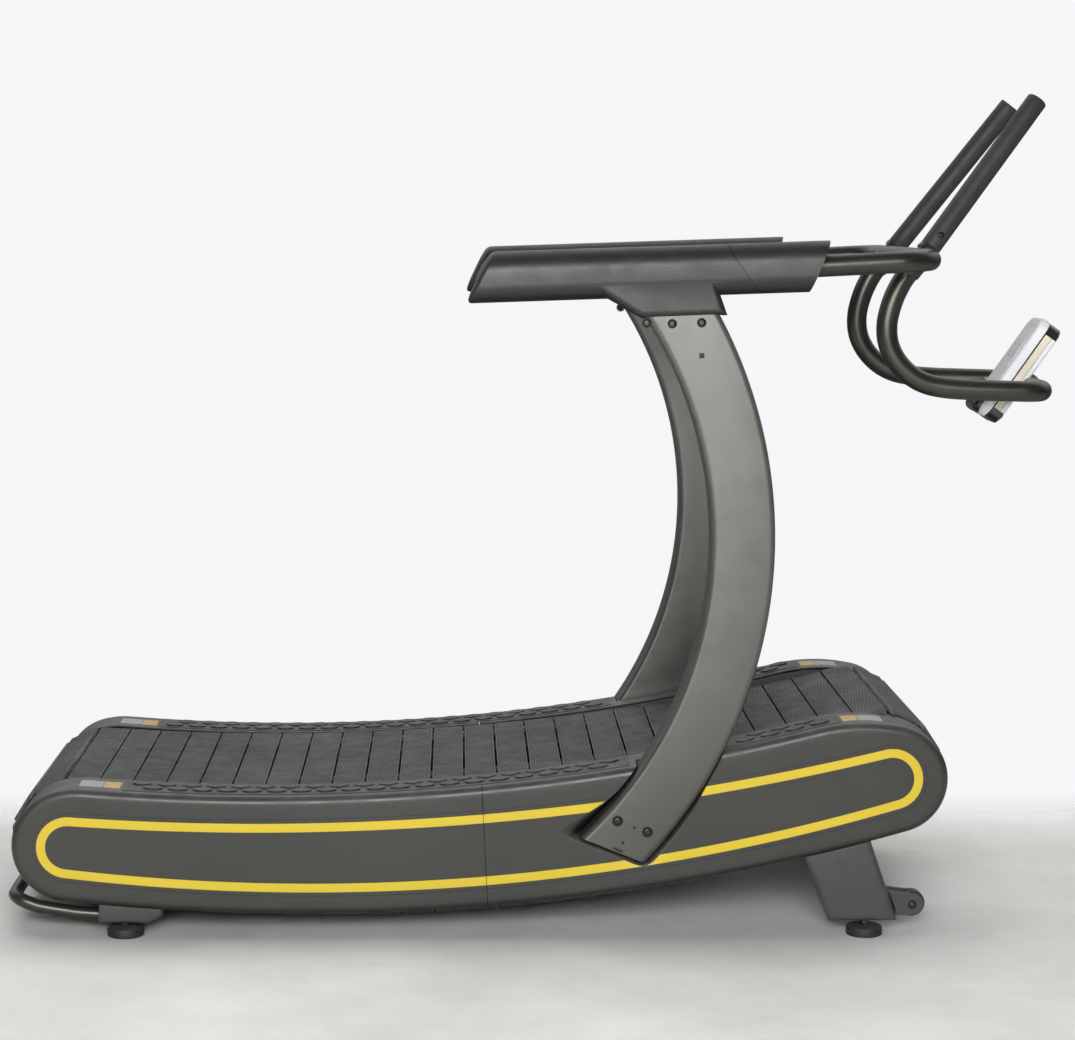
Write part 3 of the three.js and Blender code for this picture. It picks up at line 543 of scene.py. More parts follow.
# Each surface's colour, roughness and what sets it apart.
SURFACES = {
    # Painted shade on the cover's down-facing faces.
    "cover_plastic": (
        (0.034, 0.0335, 0.030),
        0.38,
        {"grain": (700.0, 0.00005), "spread": 0.08, "dust": 0.2, "under": 0.95},
    ),
    # Painted shade: the post's colour darkens towards the floor.
    "upright_paint": (
        (0.152, 0.152, 0.141),
        0.37,
        # Its edges are lightened by wear and by a painted highlight.
        {"metallic": 0.55, "spread": 0.04, "wear": 0.2, "dust": 0.05, "grime": (0.2, 0.85, 0.42)},
    ),
    # Painted shade on the arm's down-facing faces.
    "arm_plastic": (
        (0.020, 0.020, 0.018),
        0.40,
        # Painted glints on the peaks of the grain.
        {"grain": (620.0, 0.0003), "speck": 0.8, "spread": 0.1, "dust": 0.0, "under": 0.5},
    ),
    # Edges lightened by wear and by a painted highlight.
    "tube_paint": (
        (0.062, 0.061, 0.054),
        0.32,
        {"metallic": 0.75, "spread": 0.12, "wear": 0.2, "grain": (1100.0, 0.00004)},
    ),
    # Edges lightened by wear and by a painted highlight.
    "frame_paint": ((0.043, 0.044, 0.042), 0.42, {"spread": 0.14, "wear": 0.4}),
    "grip_foam": (
        (0.030, 0.030, 0.028),
        0.55,
        {"spread": 0.2, "patch": 30.0, "grain": (500.0, 0.0001)},
    ),
    "belt_rubber": ((0.014, 0.014, 0.014), 0.7, {"grain": (420.0, 0.00015)}),
    "strip_rubber": ((0.045, 0.046, 0.047), 0.55, {"grain": (600.0, 0.00014), "dust": 0.25}),
    "stripe_vinyl": ((0.64, 0.475, 0.021), 0.4, {"spread": 0.03, "patch": 3.0, "dust": 0.0}),
    "foot_rubber": ((0.014, 0.014, 0.014), 0.6, {"dust": 0.2, "grain": (500.0, 0.00012)}),
    "wheel_plastic": ((0.020, 0.020, 0.020), 0.45, {"dust": 0.15}),
    "console_plastic": ((0.82, 0.82, 0.86), 0.55, {"spread": 0.05, "dust": 0.05}),
    "console_band": ((0.74, 0.68, 0.54), 0.5, {"spread": 0.06, "dust": 0.0}),
    "console_dark": ((0.020, 0.020, 0.022), 0.18, {"spread": 0.1, "dust": 0.1, "coat": 0.5}),
    "console_lens": ((0.84, 0.85, 0.88), 0.2, {"spread": 0.08, "dust": 0.08, "coat": 0.6}),
    "button_plastic": ((0.03, 0.032, 0.038), 0.25, {"dust": 0.08}),
}
LOOKS = {name: surface(name, *given, **more) for name, (*given, more) in SURFACES.items()}
LOOKS["slat_rubber"] = slat_material()
for name, *inks, share in (
    ("sticker_paper", (0.46, 0.47, 0.47, 1.0), (0.16, 0.17, 0.17, 1.0), 0.2),
    ("sticker_orange", (0.72, 0.42, 0.09, 1.0), (0.62, 0.60, 0.52, 1.0), 0.3),
):
    LOOKS[name] = sticker_material(name, *inks, share)
for name, colour, roughness in (
    ("bare_steel", (0.42, 0.42, 0.43), 0.35),
    ("screw_steel", (0.055, 0.055, 0.055), 0.36),
    ("pulley_metal", (0.36, 0.37, 0.38), 0.4),
):
    LOOKS[name] = steel_material(name, colour, roughness)


def finish_piece(made, body, look, nodes=()):
    """Gives a piece its material, its body and the CAD nodes it stands for."""
    made.data.materials.clear()
    made.data.materials.append(LOOKS[look])
    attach(made, body)
    if nodes:
        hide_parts(*nodes)
    return made


def dress_node(node, look):
    """A CAD node that stays as it is, with a better material."""
    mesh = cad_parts[node].data
    mesh.materials.clear()
    mesh.materials.append(LOOKS[look])


# ---- running belt -------------------------------------------------------------------
TREAD_TOP = ((-437, 4988), 4731)
WRAP_R = 112
BOTTOM_R = 3420
SLAT_COUNT = 60
SLAT_GAP = 4
SLAT_T = 8
BELT_T = 3
SLAT_HALF_Y = 240
PITCH_DEPTH = SLAT_T + BELT_T / 2
SLAT_PHASE_X = 1


def axle_at(x):
    reach = TREAD_TOP[1] + WRAP_R
    return (x, TREAD_TOP[0][1] - math.sqrt(reach**2 - (x - TREAD_TOP[0][0]) ** 2))


FRONT_AXLE = axle_at(699)
REAR_AXLE = axle_at(-761)
BOTTOM_C = meeting(REAR_AXLE, BOTTOM_R - WRAP_R, FRONT_AXLE, BOTTOM_R - WRAP_R, 1)
TOP_C, TOP_R = TREAD_TOP


def belt_run(centre, radius, side, start, end):
    """An arc between two bearings, each given as a (from, to) pair of points."""
    return Arc(centre, radius, side, bearing(*start), bearing(*end), 1)


RUNS = {
    "belt_top": belt_run(TOP_C, TOP_R, -1, (TOP_C, FRONT_AXLE), (TOP_C, REAR_AXLE)),
    "belt_rear": belt_run(REAR_AXLE, WRAP_R, 1, (REAR_AXLE, TOP_C), (BOTTOM_C, REAR_AXLE)),
    "belt_bottom": belt_run(
        BOTTOM_C, BOTTOM_R, 1, (BOTTOM_C, REAR_AXLE), (BOTTOM_C, FRONT_AXLE)
    ),
    "belt_front": belt_run(FRONT_AXLE, WRAP_R, 1, (BOTTOM_C, FRONT_AXLE), (FRONT_AXLE, TOP_C)),
}
BODY_OF_RUN = {
    "belt_top": "belt_top_run",
    "belt_rear": "belt_rear_wrap",
    "belt_bottom": "belt_bottom_run",
    "belt_front": "belt_front_wrap",
}


def pitch_radius(run):
    return run.radius - run.side * PITCH_DEPTH


def run_length(run):
    return abs(run.end - run.start) * pitch_radius(run)


PITCH = sum(run_length(run) for run in RUNS.values()) / SLAT_COUNT
SLAT_HALF = (PITCH - SLAT_GAP) / 2


def slat_places():
    """Each slat's run and its angle there, in the order of travel."""
    top = RUNS["belt_top"]
    phase = -math.acos((SLAT_PHASE_X - top.centre[0]) / top.radius)
    run_on = (top.start - phase) * pitch_radius(top) % PITCH + PITCH / 2
    places = []
    for name, run in RUNS.items():
        while run_on <= run_length(run):
            places.append((name, run, run.start + run.side * run_on / pitch_radius(run)))
            run_on += PITCH
        run_on -= run_length(run)
    return places


def slat_section(top_drop, narrow):
    """A slat's outline as (along, depth): a rounded top, and a stiffening lip under each edge."""
    half = SLAT_HALF - narrow
    edge, lip, hollow = 1.8, 5, 2.2
    quarter = [(edge * (1 - math.cos(a)), edge * (1 - math.sin(a))) for a in (0, 0.5, 1.05, math.pi / 2)]
    rear = [(across - half, top_drop + down) for across, down in quarter]
    front = [(half - across, top_drop + down) for across, down in quarter[::-1]]
    lip_at = [(half, SLAT_T), (half - lip, SLAT_T), (half - lip - 2, SLAT_T - hollow)]
    return [*rear, *front, *lip_at, *((-u, d) for u, d in lip_at[::-1])]


def slat_rings(run, angle):
    """The slat's sections from one end to the other, with its own place and tone at each point."""
    x, z = run.at(angle)
    nx, nz = run.normal(angle)
    ends = [(0, 3.4, 1.0), (1.0, 1.9, 0.4), (3.0, 0.8, 0.1), (6.0, 0.2, 0.0), (10.5, 0.0, 0.0)]
    stations = [(-SLAT_HALF_Y + e, d, n) for e, d, n in ends] + [(-80, 0, 0), (80, 0, 0)]
    stations += [(SLAT_HALF_Y - e, d, n) for e, d, n in ends[::-1]]
    rings = []
    for y, drop, narrow in stations:
        section = slat_section(drop, narrow)
        rings.append([((x - nz * u - nx * d, y, z + nx * u - nz * d), (u, y)) for u, d in section])
    return rings


def build_slats():
    rng = random.Random(7)
    groups = {name: [] for name in RUNS}
    for name, run, angle in slat_places():
        groups[name].append((slat_rings(run, angle), rng.random()))
    for name, slats in groups.items():
        points, faces, marks = [], [], []
        for rings, tone in slats:
            faces += loft(rings, len(points))
            for ring in rings:
                points += [p for p, _ in ring]
                marks += [(u, y, tone) for _, (u, y) in ring]
        made = new_object(name + "_slats", points, faces, 30)
        attribute = made.data.attributes.new("slat_at", "FLOAT_VECTOR", "POINT")
        attribute.data.foreach_set("vector", [v for m in marks for v in m])
        finish_piece(made, BODY_OF_RUN[name], "slat_rubber", [name])


# The (distance along Y, depth under the slats' tops) corners of a belt's section.
BELT_SECTION = ((150, 6.0), (190, 6.0), (190, 10.4), (189.4, 11.0), (150.6, 11.0), (150, 10.4))


def build_belts():
    """The two rubber belts that carry the slats, cut at the ends of each run."""
    for name, run in RUNS.items():
        angles = [angle for run_name, _, angle in slat_places() if run_name == name]
        reach = run.side * SLAT_HALF / pitch_radius(run)
        start, end = angles[0] - reach, angles[-1] + reach
        steps = 60 if name in ("belt_top", "belt_bottom") else 30
        for side, sign in SIDES.items():
            rings = []
            for k in range(steps + 1):
                angle = start + (end - start) * k / steps
                flat = [(y, run.at(angle, depth)) for y, depth in BELT_SECTION]
                rings.append([(x, sign * y, z) for y, (x, z) in flat])
            made = lofted(f"{name}_rubber_{side}", rings)
            finish_piece(made, BODY_OF_RUN[name], "belt_rubber")


# ---- side covers --------------------------------------------------------------------
END_FRONT = ((705, 287), 97)
END_REAR = ((-758, 168), 100)
COVER_TOP = ((-411, 4238), 3981)
SHOULDERS = (350, 160)
COVER_BOTTOM_R = 3920
COVER_FACE = 355
COVER_BACK = 244
UPRIGHT_C = (-349, 711)
UPRIGHT_R = (721, 833)
UPRIGHT_Y = (303, 378)
POCKET_TOP = {-1: 275, 1: 310}


def cover_arcs():
    (front, rf), (rear, rr), (top, rt) = END_FRONT, END_REAR, COVER_TOP
    sf, sr = SHOULDERS
    high = meeting(front, sf - rf, top, rt + sf, 1)
    low = meeting(rear, sr - rr, top, rt + sr, -1)
    r = COVER_BOTTOM_R
    under = meeting(rear, r - rr, front, r - rf, 1)
    return [
        Arc(front, rf, 1, bearing(under, front), bearing(high, front), 30),
        Arc(high, sf, 1, bearing(high, front), bearing(high, top), 10),
        Arc(top, rt, -1, bearing(top, high), bearing(top, low), 70),
        Arc(low, sr, 1, bearing(low, top), bearing(low, rear), 6),
        Arc(rear, rr, 1, bearing(low, rear), bearing(under, rear), 30),
        Arc(under, r, 1, bearing(under, rear), bearing(under, front), 60),
    ]


COVER = cover_arcs()


def foot_line(x, drop):
    return 181 - 0.4 * (x - 168) - drop


def on_foot_line(radius, drop):
    """Where a circle about the upright's centre crosses the line of its foot."""
    low, high = -1.4, 0.0
    for _ in range(40):
        angle = (low + high) / 2
        x, z = polar(UPRIGHT_C, radius, angle)
        low, high = (angle, high) if z < foot_line(x, drop) else (low, angle)
    return low


POCKET_LIP_SHARE = 0.35


def pocket_outline(gap, lip):
    """The recess round an upright's foot: its lip is wide behind the post and tight elsewhere."""
    reach = 8 + lip / 2
    tight = gap + lip * POCKET_LIP_SHARE

    def side(radius, sign, widest):
        points = []
        low = on_foot_line(radius + sign * (gap + widest), tight)
        for k in range(31):
            angle = low + reach / radius + (-0.2 - low) * k / 30
            height = UPRIGHT_C[1] + radius * math.sin(angle)
            share = min(1.0, max(0.0, (POCKET_TOP[sign] - height) / 110))
            r = radius + sign * (gap + widest * share * share * (3 - 2 * share))
            points.append(polar(UPRIGHT_C, r, angle))
        return points, polar(UPRIGHT_C, radius + sign * (gap + widest), low)

    left, corner0 = side(UPRIGHT_R[0], -1, lip)
    right, corner1 = side(UPRIGHT_R[1], 1, lip * POCKET_LIP_SHARE)
    flat = Vector((corner1[0] - corner0[0], corner1[1] - corner0[1])).normalized() * reach
    bottom = curved_corner(left[0], corner0, (corner0[0] + flat.x, corner0[1] + flat.y))
    bottom += curved_corner((corner1[0] - flat.x, corner1[1] - flat.y), corner1, right[0])
    return left[:0:-1] + bottom + right[1:]


# (distance along Y, gap, lip) steps of a recess, from its floor out through the cover's face.
POCKET_STEPS = (
    (290, 3, 0),
    (326, 3.4, 1),
    (336, 3.6, 3),
    (343, 3.8, 6),
    (348, 4, 10),
    (351.4, 4.2, 14),
    (353.6, 4.6, 19),
    (354.9, 5.2, 25),
    (355.2, 5.6, 28),
    (358, 7, 44),
)


def pocket_tool(sign):
    rings = [at_depth(pocket_outline(gap, lip), sign * y) for y, gap, lip in POCKET_STEPS]
    return lofted("pocket", rings)


def cover_tray(sign):
    """The whole side cover as a solid: flat top, rounded rim and a slightly crowned face."""
    depths = [0, 0.12, 0.5, 1.2, 2.2, 3.6, 5.4, 7.6, 10.2, 13, 17, 22, 28, 31]
    rings = [at_depth(chain(COVER, 0), sign * y) for y in (COVER_BACK, 300)]
    for depth in depths:
        edge, crown = max(0, (13 - depth) / 13), max(0, (28 - depth) / 28)
        y = COVER_FACE - 11 * (1 - math.sqrt(1 - edge**2)) - 1.4 * crown**2
        rings.append(at_depth(chain(COVER, depth), sign * y))
    return lofted("cover", rings, 25)


SEAM = {"x": (-16, -27), "z": (60, 270), "gap": 0.9}
FLAT_AREA = 0.002


def seam_plane(way):
    """A point on the seam between the two halves of a cover, and its normal facing way along X."""
    x0, x1 = SEAM["x"]
    z0, z1 = SEAM["z"]
    along = Vector((x1 - x0, 0, z1 - z0)).normalized()
    normal = Vector((along.z, 0, -along.x)) * way
    return place(x0, 0, z0) - normal * SEAM["gap"] / 2 * MM, normal


def hollowed(target):
    """Turns a solid cover into a thin shell that is open towards the belt."""
    work = bmesh.new()
    work.from_mesh(target.data)
    inner = COVER_BACK * MM
    back = [f for f in work.faces if all(abs(abs(v.co.y) - inner) < 1e-6 for v in f.verts)]
    bmesh.ops.delete(work, geom=back, context="FACES")
    work.to_mesh(target.data)
    work.free()
    modifier = target.modifiers.new("wall", "SOLIDIFY")
    modifier.thickness, modifier.offset = 2.5 * MM, -1
    applied(target, 28)
    for polygon in target.data.polygons:
        if polygon.area > FLAT_AREA:
            polygon.use_smooth = False
    return target


def stripe_arcs():
    front, rear, r = (701, 290), (-758, 167), 47
    top_r, bottom_r = 4687, 3650
    top = meeting(front, top_r + r, rear, top_r + r, -1)
    under = meeting(rear, bottom_r - r, front, bottom_r - r, 1)
    return [
        Arc(front, r, 1, bearing(under, front), bearing(front, top), 24),
        Arc(top, top_r, -1, bearing(top, front), bearing(top, rear), 60),
        Arc(rear, r, 1, bearing(rear, top), bearing(under, rear), 24),
        Arc(under, bottom_r, 1, bearing(under, rear), bearing(under, front), 60),
    ]


def band(name, arcs, outer, inner, low, high, sign):
    """A flat closed band on the cover's face, between two depths from a line."""
    section = [(outer, low), (outer, high), (inner, high), (inner, low)]
    rings = [at_depth(chain(arcs, d), sign * y) for d, y in section]
    return lofted(name, rings, closed=True)


def build_covers():
    stripe = stripe_arcs()
    for side, sign in SIDES.items():
        whole = carve(cover_tray(sign), pocket_tool(sign))
        line = carve(band("line", stripe, -15.4, -14.5, 354.0, 355.12, sign), pocket_tool(sign))
        vinyl = carve(band("vinyl", stripe, -7.85, 7.85, 354.6, 355.3, sign), pocket_tool(sign))
        for half, way in (("rear", 1), ("front", -1)):
            point, normal = seam_plane(way)
            node = f"cover_{side}_{half}"
            shell = cut_plane(copy_of(whole, node + "_shell"), point, normal, 28)
            finish_piece(hollowed(shell), "frame", "cover_plastic", [node])
            piece = cut_plane(copy_of(vinyl, f"stripe_{side}_{half}"), point, normal)
            finish_piece(piece, "frame", "stripe_vinyl")
            piece = cut_plane(copy_of(line, f"outline_{side}_{half}"), point, normal)
            finish_piece(piece, "frame", "belt_rubber")
        for spare in (whole, vinyl, line):
            bpy.data.objects.remove(spare)


def cover_height(x):
    """The height of the cover's top edge at x, and the slope of the edge there."""
    outline = [p for p in chain(COVER, 0) if p[1] > 200]
    outline.sort()
    for (x0, z0), (x1, z1) in zip(outline, outline[1:]):
        if x0 <= x <= x1 and x1 > x0:
            return z0 + (z1 - z0) * (x - x0) / (x1 - x0), (z1 - z0) / (x1 - x0)
    return outline[-1][1], 0.0


def on_cover_top(x, y, lift):
    z, slope = cover_height(x)
    return (x - slope * lift, y, z + lift)


OVAL_ROWS = ((277, 0.0), (309, 0.5))
OVAL_PITCH = 44
OVAL_HALF = (18, 14)
STRIP_X = (-664, 612)


def in_pocket(x):
    """Whether the upright's recess reaches the cover's top at x."""
    z, _ = cover_height(x)
    radius = math.dist((x, z), UPRIGHT_C)
    return UPRIGHT_R[0] - 9 < radius < UPRIGHT_R[1] + 9


# (share of an oval's size, height) steps of its raised rim and dished middle.
OVAL_RIM = (
    (0.8, 0.4),
    (0.8, 2.6),
    (0.95, 3.2),
    (1.0, 4.0),
    (0.97, 4.8),
    (0.86, 5.0),
    (0.72, 4.2),
    (0.6, 4.0),
)


def oval_rings(x, y, sign):
    rings = []
    for scale, lift in OVAL_RIM:
        ring = []
        for turn in turns(28):
            dx = OVAL_HALF[0] * scale * math.cos(turn)
            dy = OVAL_HALF[1] * scale * math.sin(turn)
            ring.append(on_cover_top(x + dx, sign * (y + dy), lift))
        rings.append(ring)
    return rings


def strip_sheet(name, sign, start, end):
    steps = max(2, int((end - start) / 12))
    rings = []
    for k in range(steps + 1):
        x = start + (end - start) * k / steps
        section = [(258, 0.2), (258, 1.2), (259, 1.6), (331, 1.6), (332, 1.2), (332, 0.2)]
        rings.append([on_cover_top(x, sign * y, lift) for y, lift in section])
    return lofted(name, rings)


def build_tread_strips():
    """The anti-slip strip on each cover: two rows of raised ovals, broken at the upright."""
    for side, sign in SIDES.items():
        free = [x for x in range(STRIP_X[0], STRIP_X[1] + 1, 4) if not in_pocket(x)]
        gap_from = max(x for x in free if x < 300)
        gap_to = min(x for x in free if x > gap_from + 8)
        spans = [(STRIP_X[0], gap_from), (gap_to, STRIP_X[1])]
        parts = [strip_sheet("strip", sign, a, b) for a, b in spans]
        points, faces = [], []
        for y, shift in OVAL_ROWS:
            x = STRIP_X[0] + 30 + shift * OVAL_PITCH
            while x < STRIP_X[1] - 24:
                ends = (x - OVAL_HALF[0], x + OVAL_HALF[0])
                if not any(in_pocket(e) for e in (*ends, x)):
                    rings = oval_rings(x, y, sign)
                    faces += loft(rings, len(points))
                    points += [p for ring in rings for p in ring]
                x += OVAL_PITCH
        parts.append(new_object("ovals", points, faces, 40))
        made = joined(f"tread_strip_{side}_ovals", parts, 40)
        finish_piece(made, "frame", "strip_rubber", [f"tread_strip_{side}"])


def build_stickers():
    """Plain film labels on the cover tops, one pale and one orange at each end."""
    spots = {
        "rear_paper": (-742, -700, "sticker_paper"),
        "rear_orange": (-699, -670, "sticker_orange"),
        "front_orange": (616, 644, "sticker_orange"),
        "front_paper": (645, 688, "sticker_paper"),
    }
    for side, sign in SIDES.items():
        for name, (start, end, look) in spots.items():
            rings = []
            for k in range(9):
                x = start + (end - start) * k / 8
                section = [(270, 0.1), (270, 0.35), (318, 0.35), (318, 0.1)]
                rings.append([on_cover_top(x, sign * y, lift) for y, lift in section])
            finish_piece(lofted(f"label_{side}_{name}", rings), "frame", look)


# ---- screws -------------------------------------------------------------------------
def screw(name, centre, axis, radius, body):
    """A button head with a star socket, on a dark washer."""
    head = [(1, 0.2 / radius), (1, 0.16), (0.93, 0.3), (0.78, 0.42), (0.5, 0.48), (0, 0.48)]
    made = turned(name, [(radius * r, radius * h) for r, h in head], centre, axis, 28)
    direction = Vector(axis).normalized()
    side = direction.orthogonal().normalized()
    up = direction.cross(side)
    rings = []
    for height in (0.1, 0.9):
        ring = []
        for k, turn in enumerate(turns(12, 0.3)):
            across = (side * math.cos(turn) + up * math.sin(turn)) * (0.7 if k % 2 else 0.42)
            ring.append(tuple(Vector(centre) + (direction * height + across) * radius))
        rings.append(ring)
    carve(made, lofted("socket", rings))
    hole, rim, bevel = radius * 1.02, radius * 1.3, radius * 1.22
    washer = [(hole, 0), (rim, 0), (rim, 0.5), (bevel, 0.7), (hole, 0.7), (hole, 0)]
    finish_piece(turned(name + "_washer", washer, centre, axis, 28), body, "belt_rubber")
    return finish_piece(made, body, "screw_steel")


# ---- uprights -----------------------------------------------------------------------
UPRIGHT_TOP = 1165
UPRIGHT_ROUND = 11


def upright_skin(sign):
    """The arched post: a rounded section swept round its centre, cut square at the foot line."""
    r0, r1 = UPRIGHT_R
    y0, y1 = UPRIGHT_Y
    corner = UPRIGHT_ROUND
    section = filleted([(r0, y0, corner), (r1, y0, corner), (r1, y1, corner), (r0, y1, corner)], 7)

    def ring(points, share, sunk=0.0):
        made = []
        for r, y in points:
            low = on_foot_line(r, 0) + sunk / r
            high = math.asin((UPRIGHT_TOP - UPRIGHT_C[1]) / r)
            x, z = polar(UPRIGHT_C, r, low + (high - low) * share)
            made.append((x, sign * y, z))
        return made

    # A hollow mouth, then the wall's rounded edge, then the post itself.
    foot = [(2.6, 3.5), (2.6, 0.5), (2.1, 0), (0.4, 0), (0, 0.5)]
    rings = [ring(inset(section, depth) if depth else section, 0, sunk) for depth, sunk in foot]
    rings += [ring(section, k / 72) for k in range(1, 73)]
    return lofted("upright", rings, 30)


# Each hole's place, width and length in an upright's outer face, and whether it is square.
HOLES = (
    (242, 208, 6, 0, False),
    (222, 181, 6, 0, False),
    (350, 1041, 9, 0, True),
    (213, 168, 4.6, 20, True),
)
FOOT_SCREWS = ((212, 220), (265, 200))
NECK_SCREWS = ((254, 1097, 3.2), (298, 1096, 0), (349, 1098, 0))


def hole_solid(hole, sign, sunk, grow=0.0):
    """The inside of a hole between two distances from the upright's outer face."""
    x, z, width, length, square = hole
    half = width / 2 + grow
    if square:
        lean = Matrix.Rotation(math.radians(-22) if length else 0.0, 2)
        far = max(half, length / 2)
        corners = [lean @ Vector(p) for p in ((-far, -half), (far, -half), (far, half), (-far, half))]
        outline = [(x + c.x, z + c.y) for c in corners]
    else:
        outline = [polar((x, z), half, t) for t in turns(16)]
    return lofted("hole", [at_depth(outline, sign * (UPRIGHT_Y[1] + y)) for y in sunk])


def build_uprights():
    for side, sign in SIDES.items():
        post = upright_skin(sign)
        for hole in HOLES:
            carve(post, hole_solid(hole, sign, (-12, 2)), sharp=30)
        # Painted shade: dark rubber fills each hole below the face, standing for the shade inside it.
        shade_fills = [hole_solid(hole, sign, (-12.5, -1.2), 0.2) for hole in HOLES]
        finish_piece(joined(f"upright_{side}_hole_plugs", shade_fills), "frame", "belt_rubber")
        post.name = f"upright_{side}_post"
        finish_piece(post, "frame", "upright_paint", [f"upright_{side}"])
        out, face = (0, sign, 0), UPRIGHT_Y[1]
        for k, (x, z) in enumerate(FOOT_SCREWS):
            screw(f"foot_screw_{side}_{k}", (x, sign * face, z), out, 7.6, "frame")
        for k, (x, z, sunk) in enumerate(NECK_SCREWS):
            screw(f"neck_screw_{side}_{k}", (x, sign * (face - sunk), z), out, 6.4, "frame")


# ---- arms ---------------------------------------------------------------------------
ARM_Y = (297, 385)
ARM_H = 88
ARM_TILT = 0.0387
ARM_REAR = (-58, -16)
ARM_FRONT = (537, 573)
ARM_Z = 1128


def arm_point(y, height, share):
    """A point of the arm's section, share of the way from its slanted rear end to its front."""
    h = height / ARM_H
    rear = ARM_REAR[0] + h * (ARM_REAR[1] - ARM_REAR[0])
    front = ARM_FRONT[0] + h * (ARM_FRONT[1] - ARM_FRONT[0])
    x = rear + (front - rear) * share
    return (x, y, ARM_Z + ARM_TILT * (x - ARM_REAR[0]) + height)


def arm_section(depth):
    y0, y1 = ARM_Y
    top, low = 36, 31
    corners = [(y0, 0, low), (y1, 0, low), (y1, ARM_H, top), (y0, ARM_H, top)]
    return inset(filleted(corners, 10), depth)


def arm_sweep(name, sign, depth, start, end, round_start=0.0):
    length = ARM_FRONT[0] - ARM_REAR[0]
    rings = []
    for d, off in edge_rings(round_start, 6)[::-1] if round_start else [(0, 0)]:
        rings.append([arm_point(sign * y, h, start + off / length) for y, h in arm_section(depth + d)])
    if round_start:
        last = edge_rings(round_start, 6)[-1][0] + depth
        extra = [(last + 5, -0.8), (last + 11, -1.4), (last + 17, -1.7)]
        for d, off in extra:
            rings.insert(0, [arm_point(sign * y, h, start + off / length) for y, h in arm_section(d)])
    for k in range(1, 13):
        share = start + (end - start) * k / 12
        rings.append([arm_point(sign * y, h, share) for y, h in arm_section(depth)])
    return lofted(name, rings, 30)


def neck_slab(sign):
    """The flat neck under the arm, its rear edge sweeping up along the arm's side."""
    marks = [(150, 1174), (163, 1158), (182, 1143), (206, 1128), (228, 1114), (246, 1104.5)]
    edge = smooth_path([Vector(p) for p in marks], 4)
    outline = [(148, 1188), *((p.x, p.y) for p in edge), (394, 1111), (382, 1144), (366, 1186)]
    return slab("neck", outline, ARM_Y[0] + 1, ARM_Y[1] - 1, (12, 12), across(sign), 7, 30)


CAP_SEAM = (
    (380, 1310),
    (388, 1262),
    (395, 1232),
    (404, 1212),
    (418, 1192),
    (438, 1166),
    (460, 1142),
    (476, 1110),
)


def cap_tool(sign, shift):
    """All that lies ahead of the seam between an arm and its cap."""
    smooth = smooth_path([Vector((x + shift, z)) for x, z in CAP_SEAM], 5)
    outline = [*((p.x, p.y) for p in smooth), (800, 1110), (800, 1310)]
    return lofted("cap_cut", [at_depth(outline, sign * y) for y in (200, 450)])


def upright_space(sign):
    """The room inside the arm's neck for the upright."""
    (r0, r1), (y0, y1) = UPRIGHT_R, UPRIGHT_Y
    section = [(r0 - 2, y0 - 1.4), (r1 + 2, y0 - 1.4), (r1 + 2, y1 + 1.4), (r0 - 2, y1 + 1.4)]
    rings = []
    for k in range(13):
        flat = [(polar(UPRIGHT_C, r, 0.40 + 0.28 * k / 12), y) for r, y in section]
        rings.append([(x, sign * y, z) for (x, z), y in flat])
    return lofted("space", rings)


def build_arms():
    for side, sign in SIDES.items():
        solid = arm_sweep("arm", sign, 0, 0, 1, 10)
        carve(solid, neck_slab(sign), "UNION", 30, "MANIFOLD")
        cap = carve(copy_of(solid, f"arm_cap_{side}_shell"), cap_tool(sign, 0.3), "INTERSECT", sharp=30)
        hollow = arm_sweep("hollow", sign, 3.2, 0.72, 1.08)
        finish_piece(carve(cap, hollow, sharp=30), "frame", "arm_plastic", [f"arm_cap_{side}"])
        carve(solid, cap_tool(sign, -0.5), sharp=30)
        level = arm_point(0, ARM_H / 2, 0)
        tilt = Vector((-ARM_TILT, 0, 1)).normalized()
        for half, way in (("top", -1), ("bottom", 1)):
            normal = tilt * way
            part = copy_of(solid, f"arm_{half}_{side}_shell")
            cut_plane(part, place(*level) - normal * 0.02 * MM, normal, 30)
            if half == "bottom":
                carve(part, upright_space(sign), sharp=30)
            finish_piece(part, "frame", "arm_plastic", [f"arm_{half}_{side}"])
        bpy.data.objects.remove(solid)


# ---- rails, grips and console loop --------------------------------------------------
BAR_R = 19
BAR = {"y": 343, "x": (470, 759.5), "z": (1191, 1207), "bend": 62}
LOOP_Y = 184
LOOP_FRONT = (994, 968)
GRIP_FOOT = Vector((762, LOOP_Y, 1207))
GRIP_TOP = Vector((977, 121, 1494))


def flipped(p):
    return Vector((p.x, -p.y, p.z))


def mirrored_path(half, between):
    """A path on the far side, points across the middle in line with its end, and its mirror."""
    x, z = (half[-1] + flipped(half[-1])).xz / 2
    return [*half, *(Vector((x, y, z)) for y in between), *(flipped(p) for p in half[::-1])]


def grip_point(share, sign):
    p = GRIP_FOOT.lerp(GRIP_TOP, share)
    return Vector((p.x, sign * p.y, p.z))


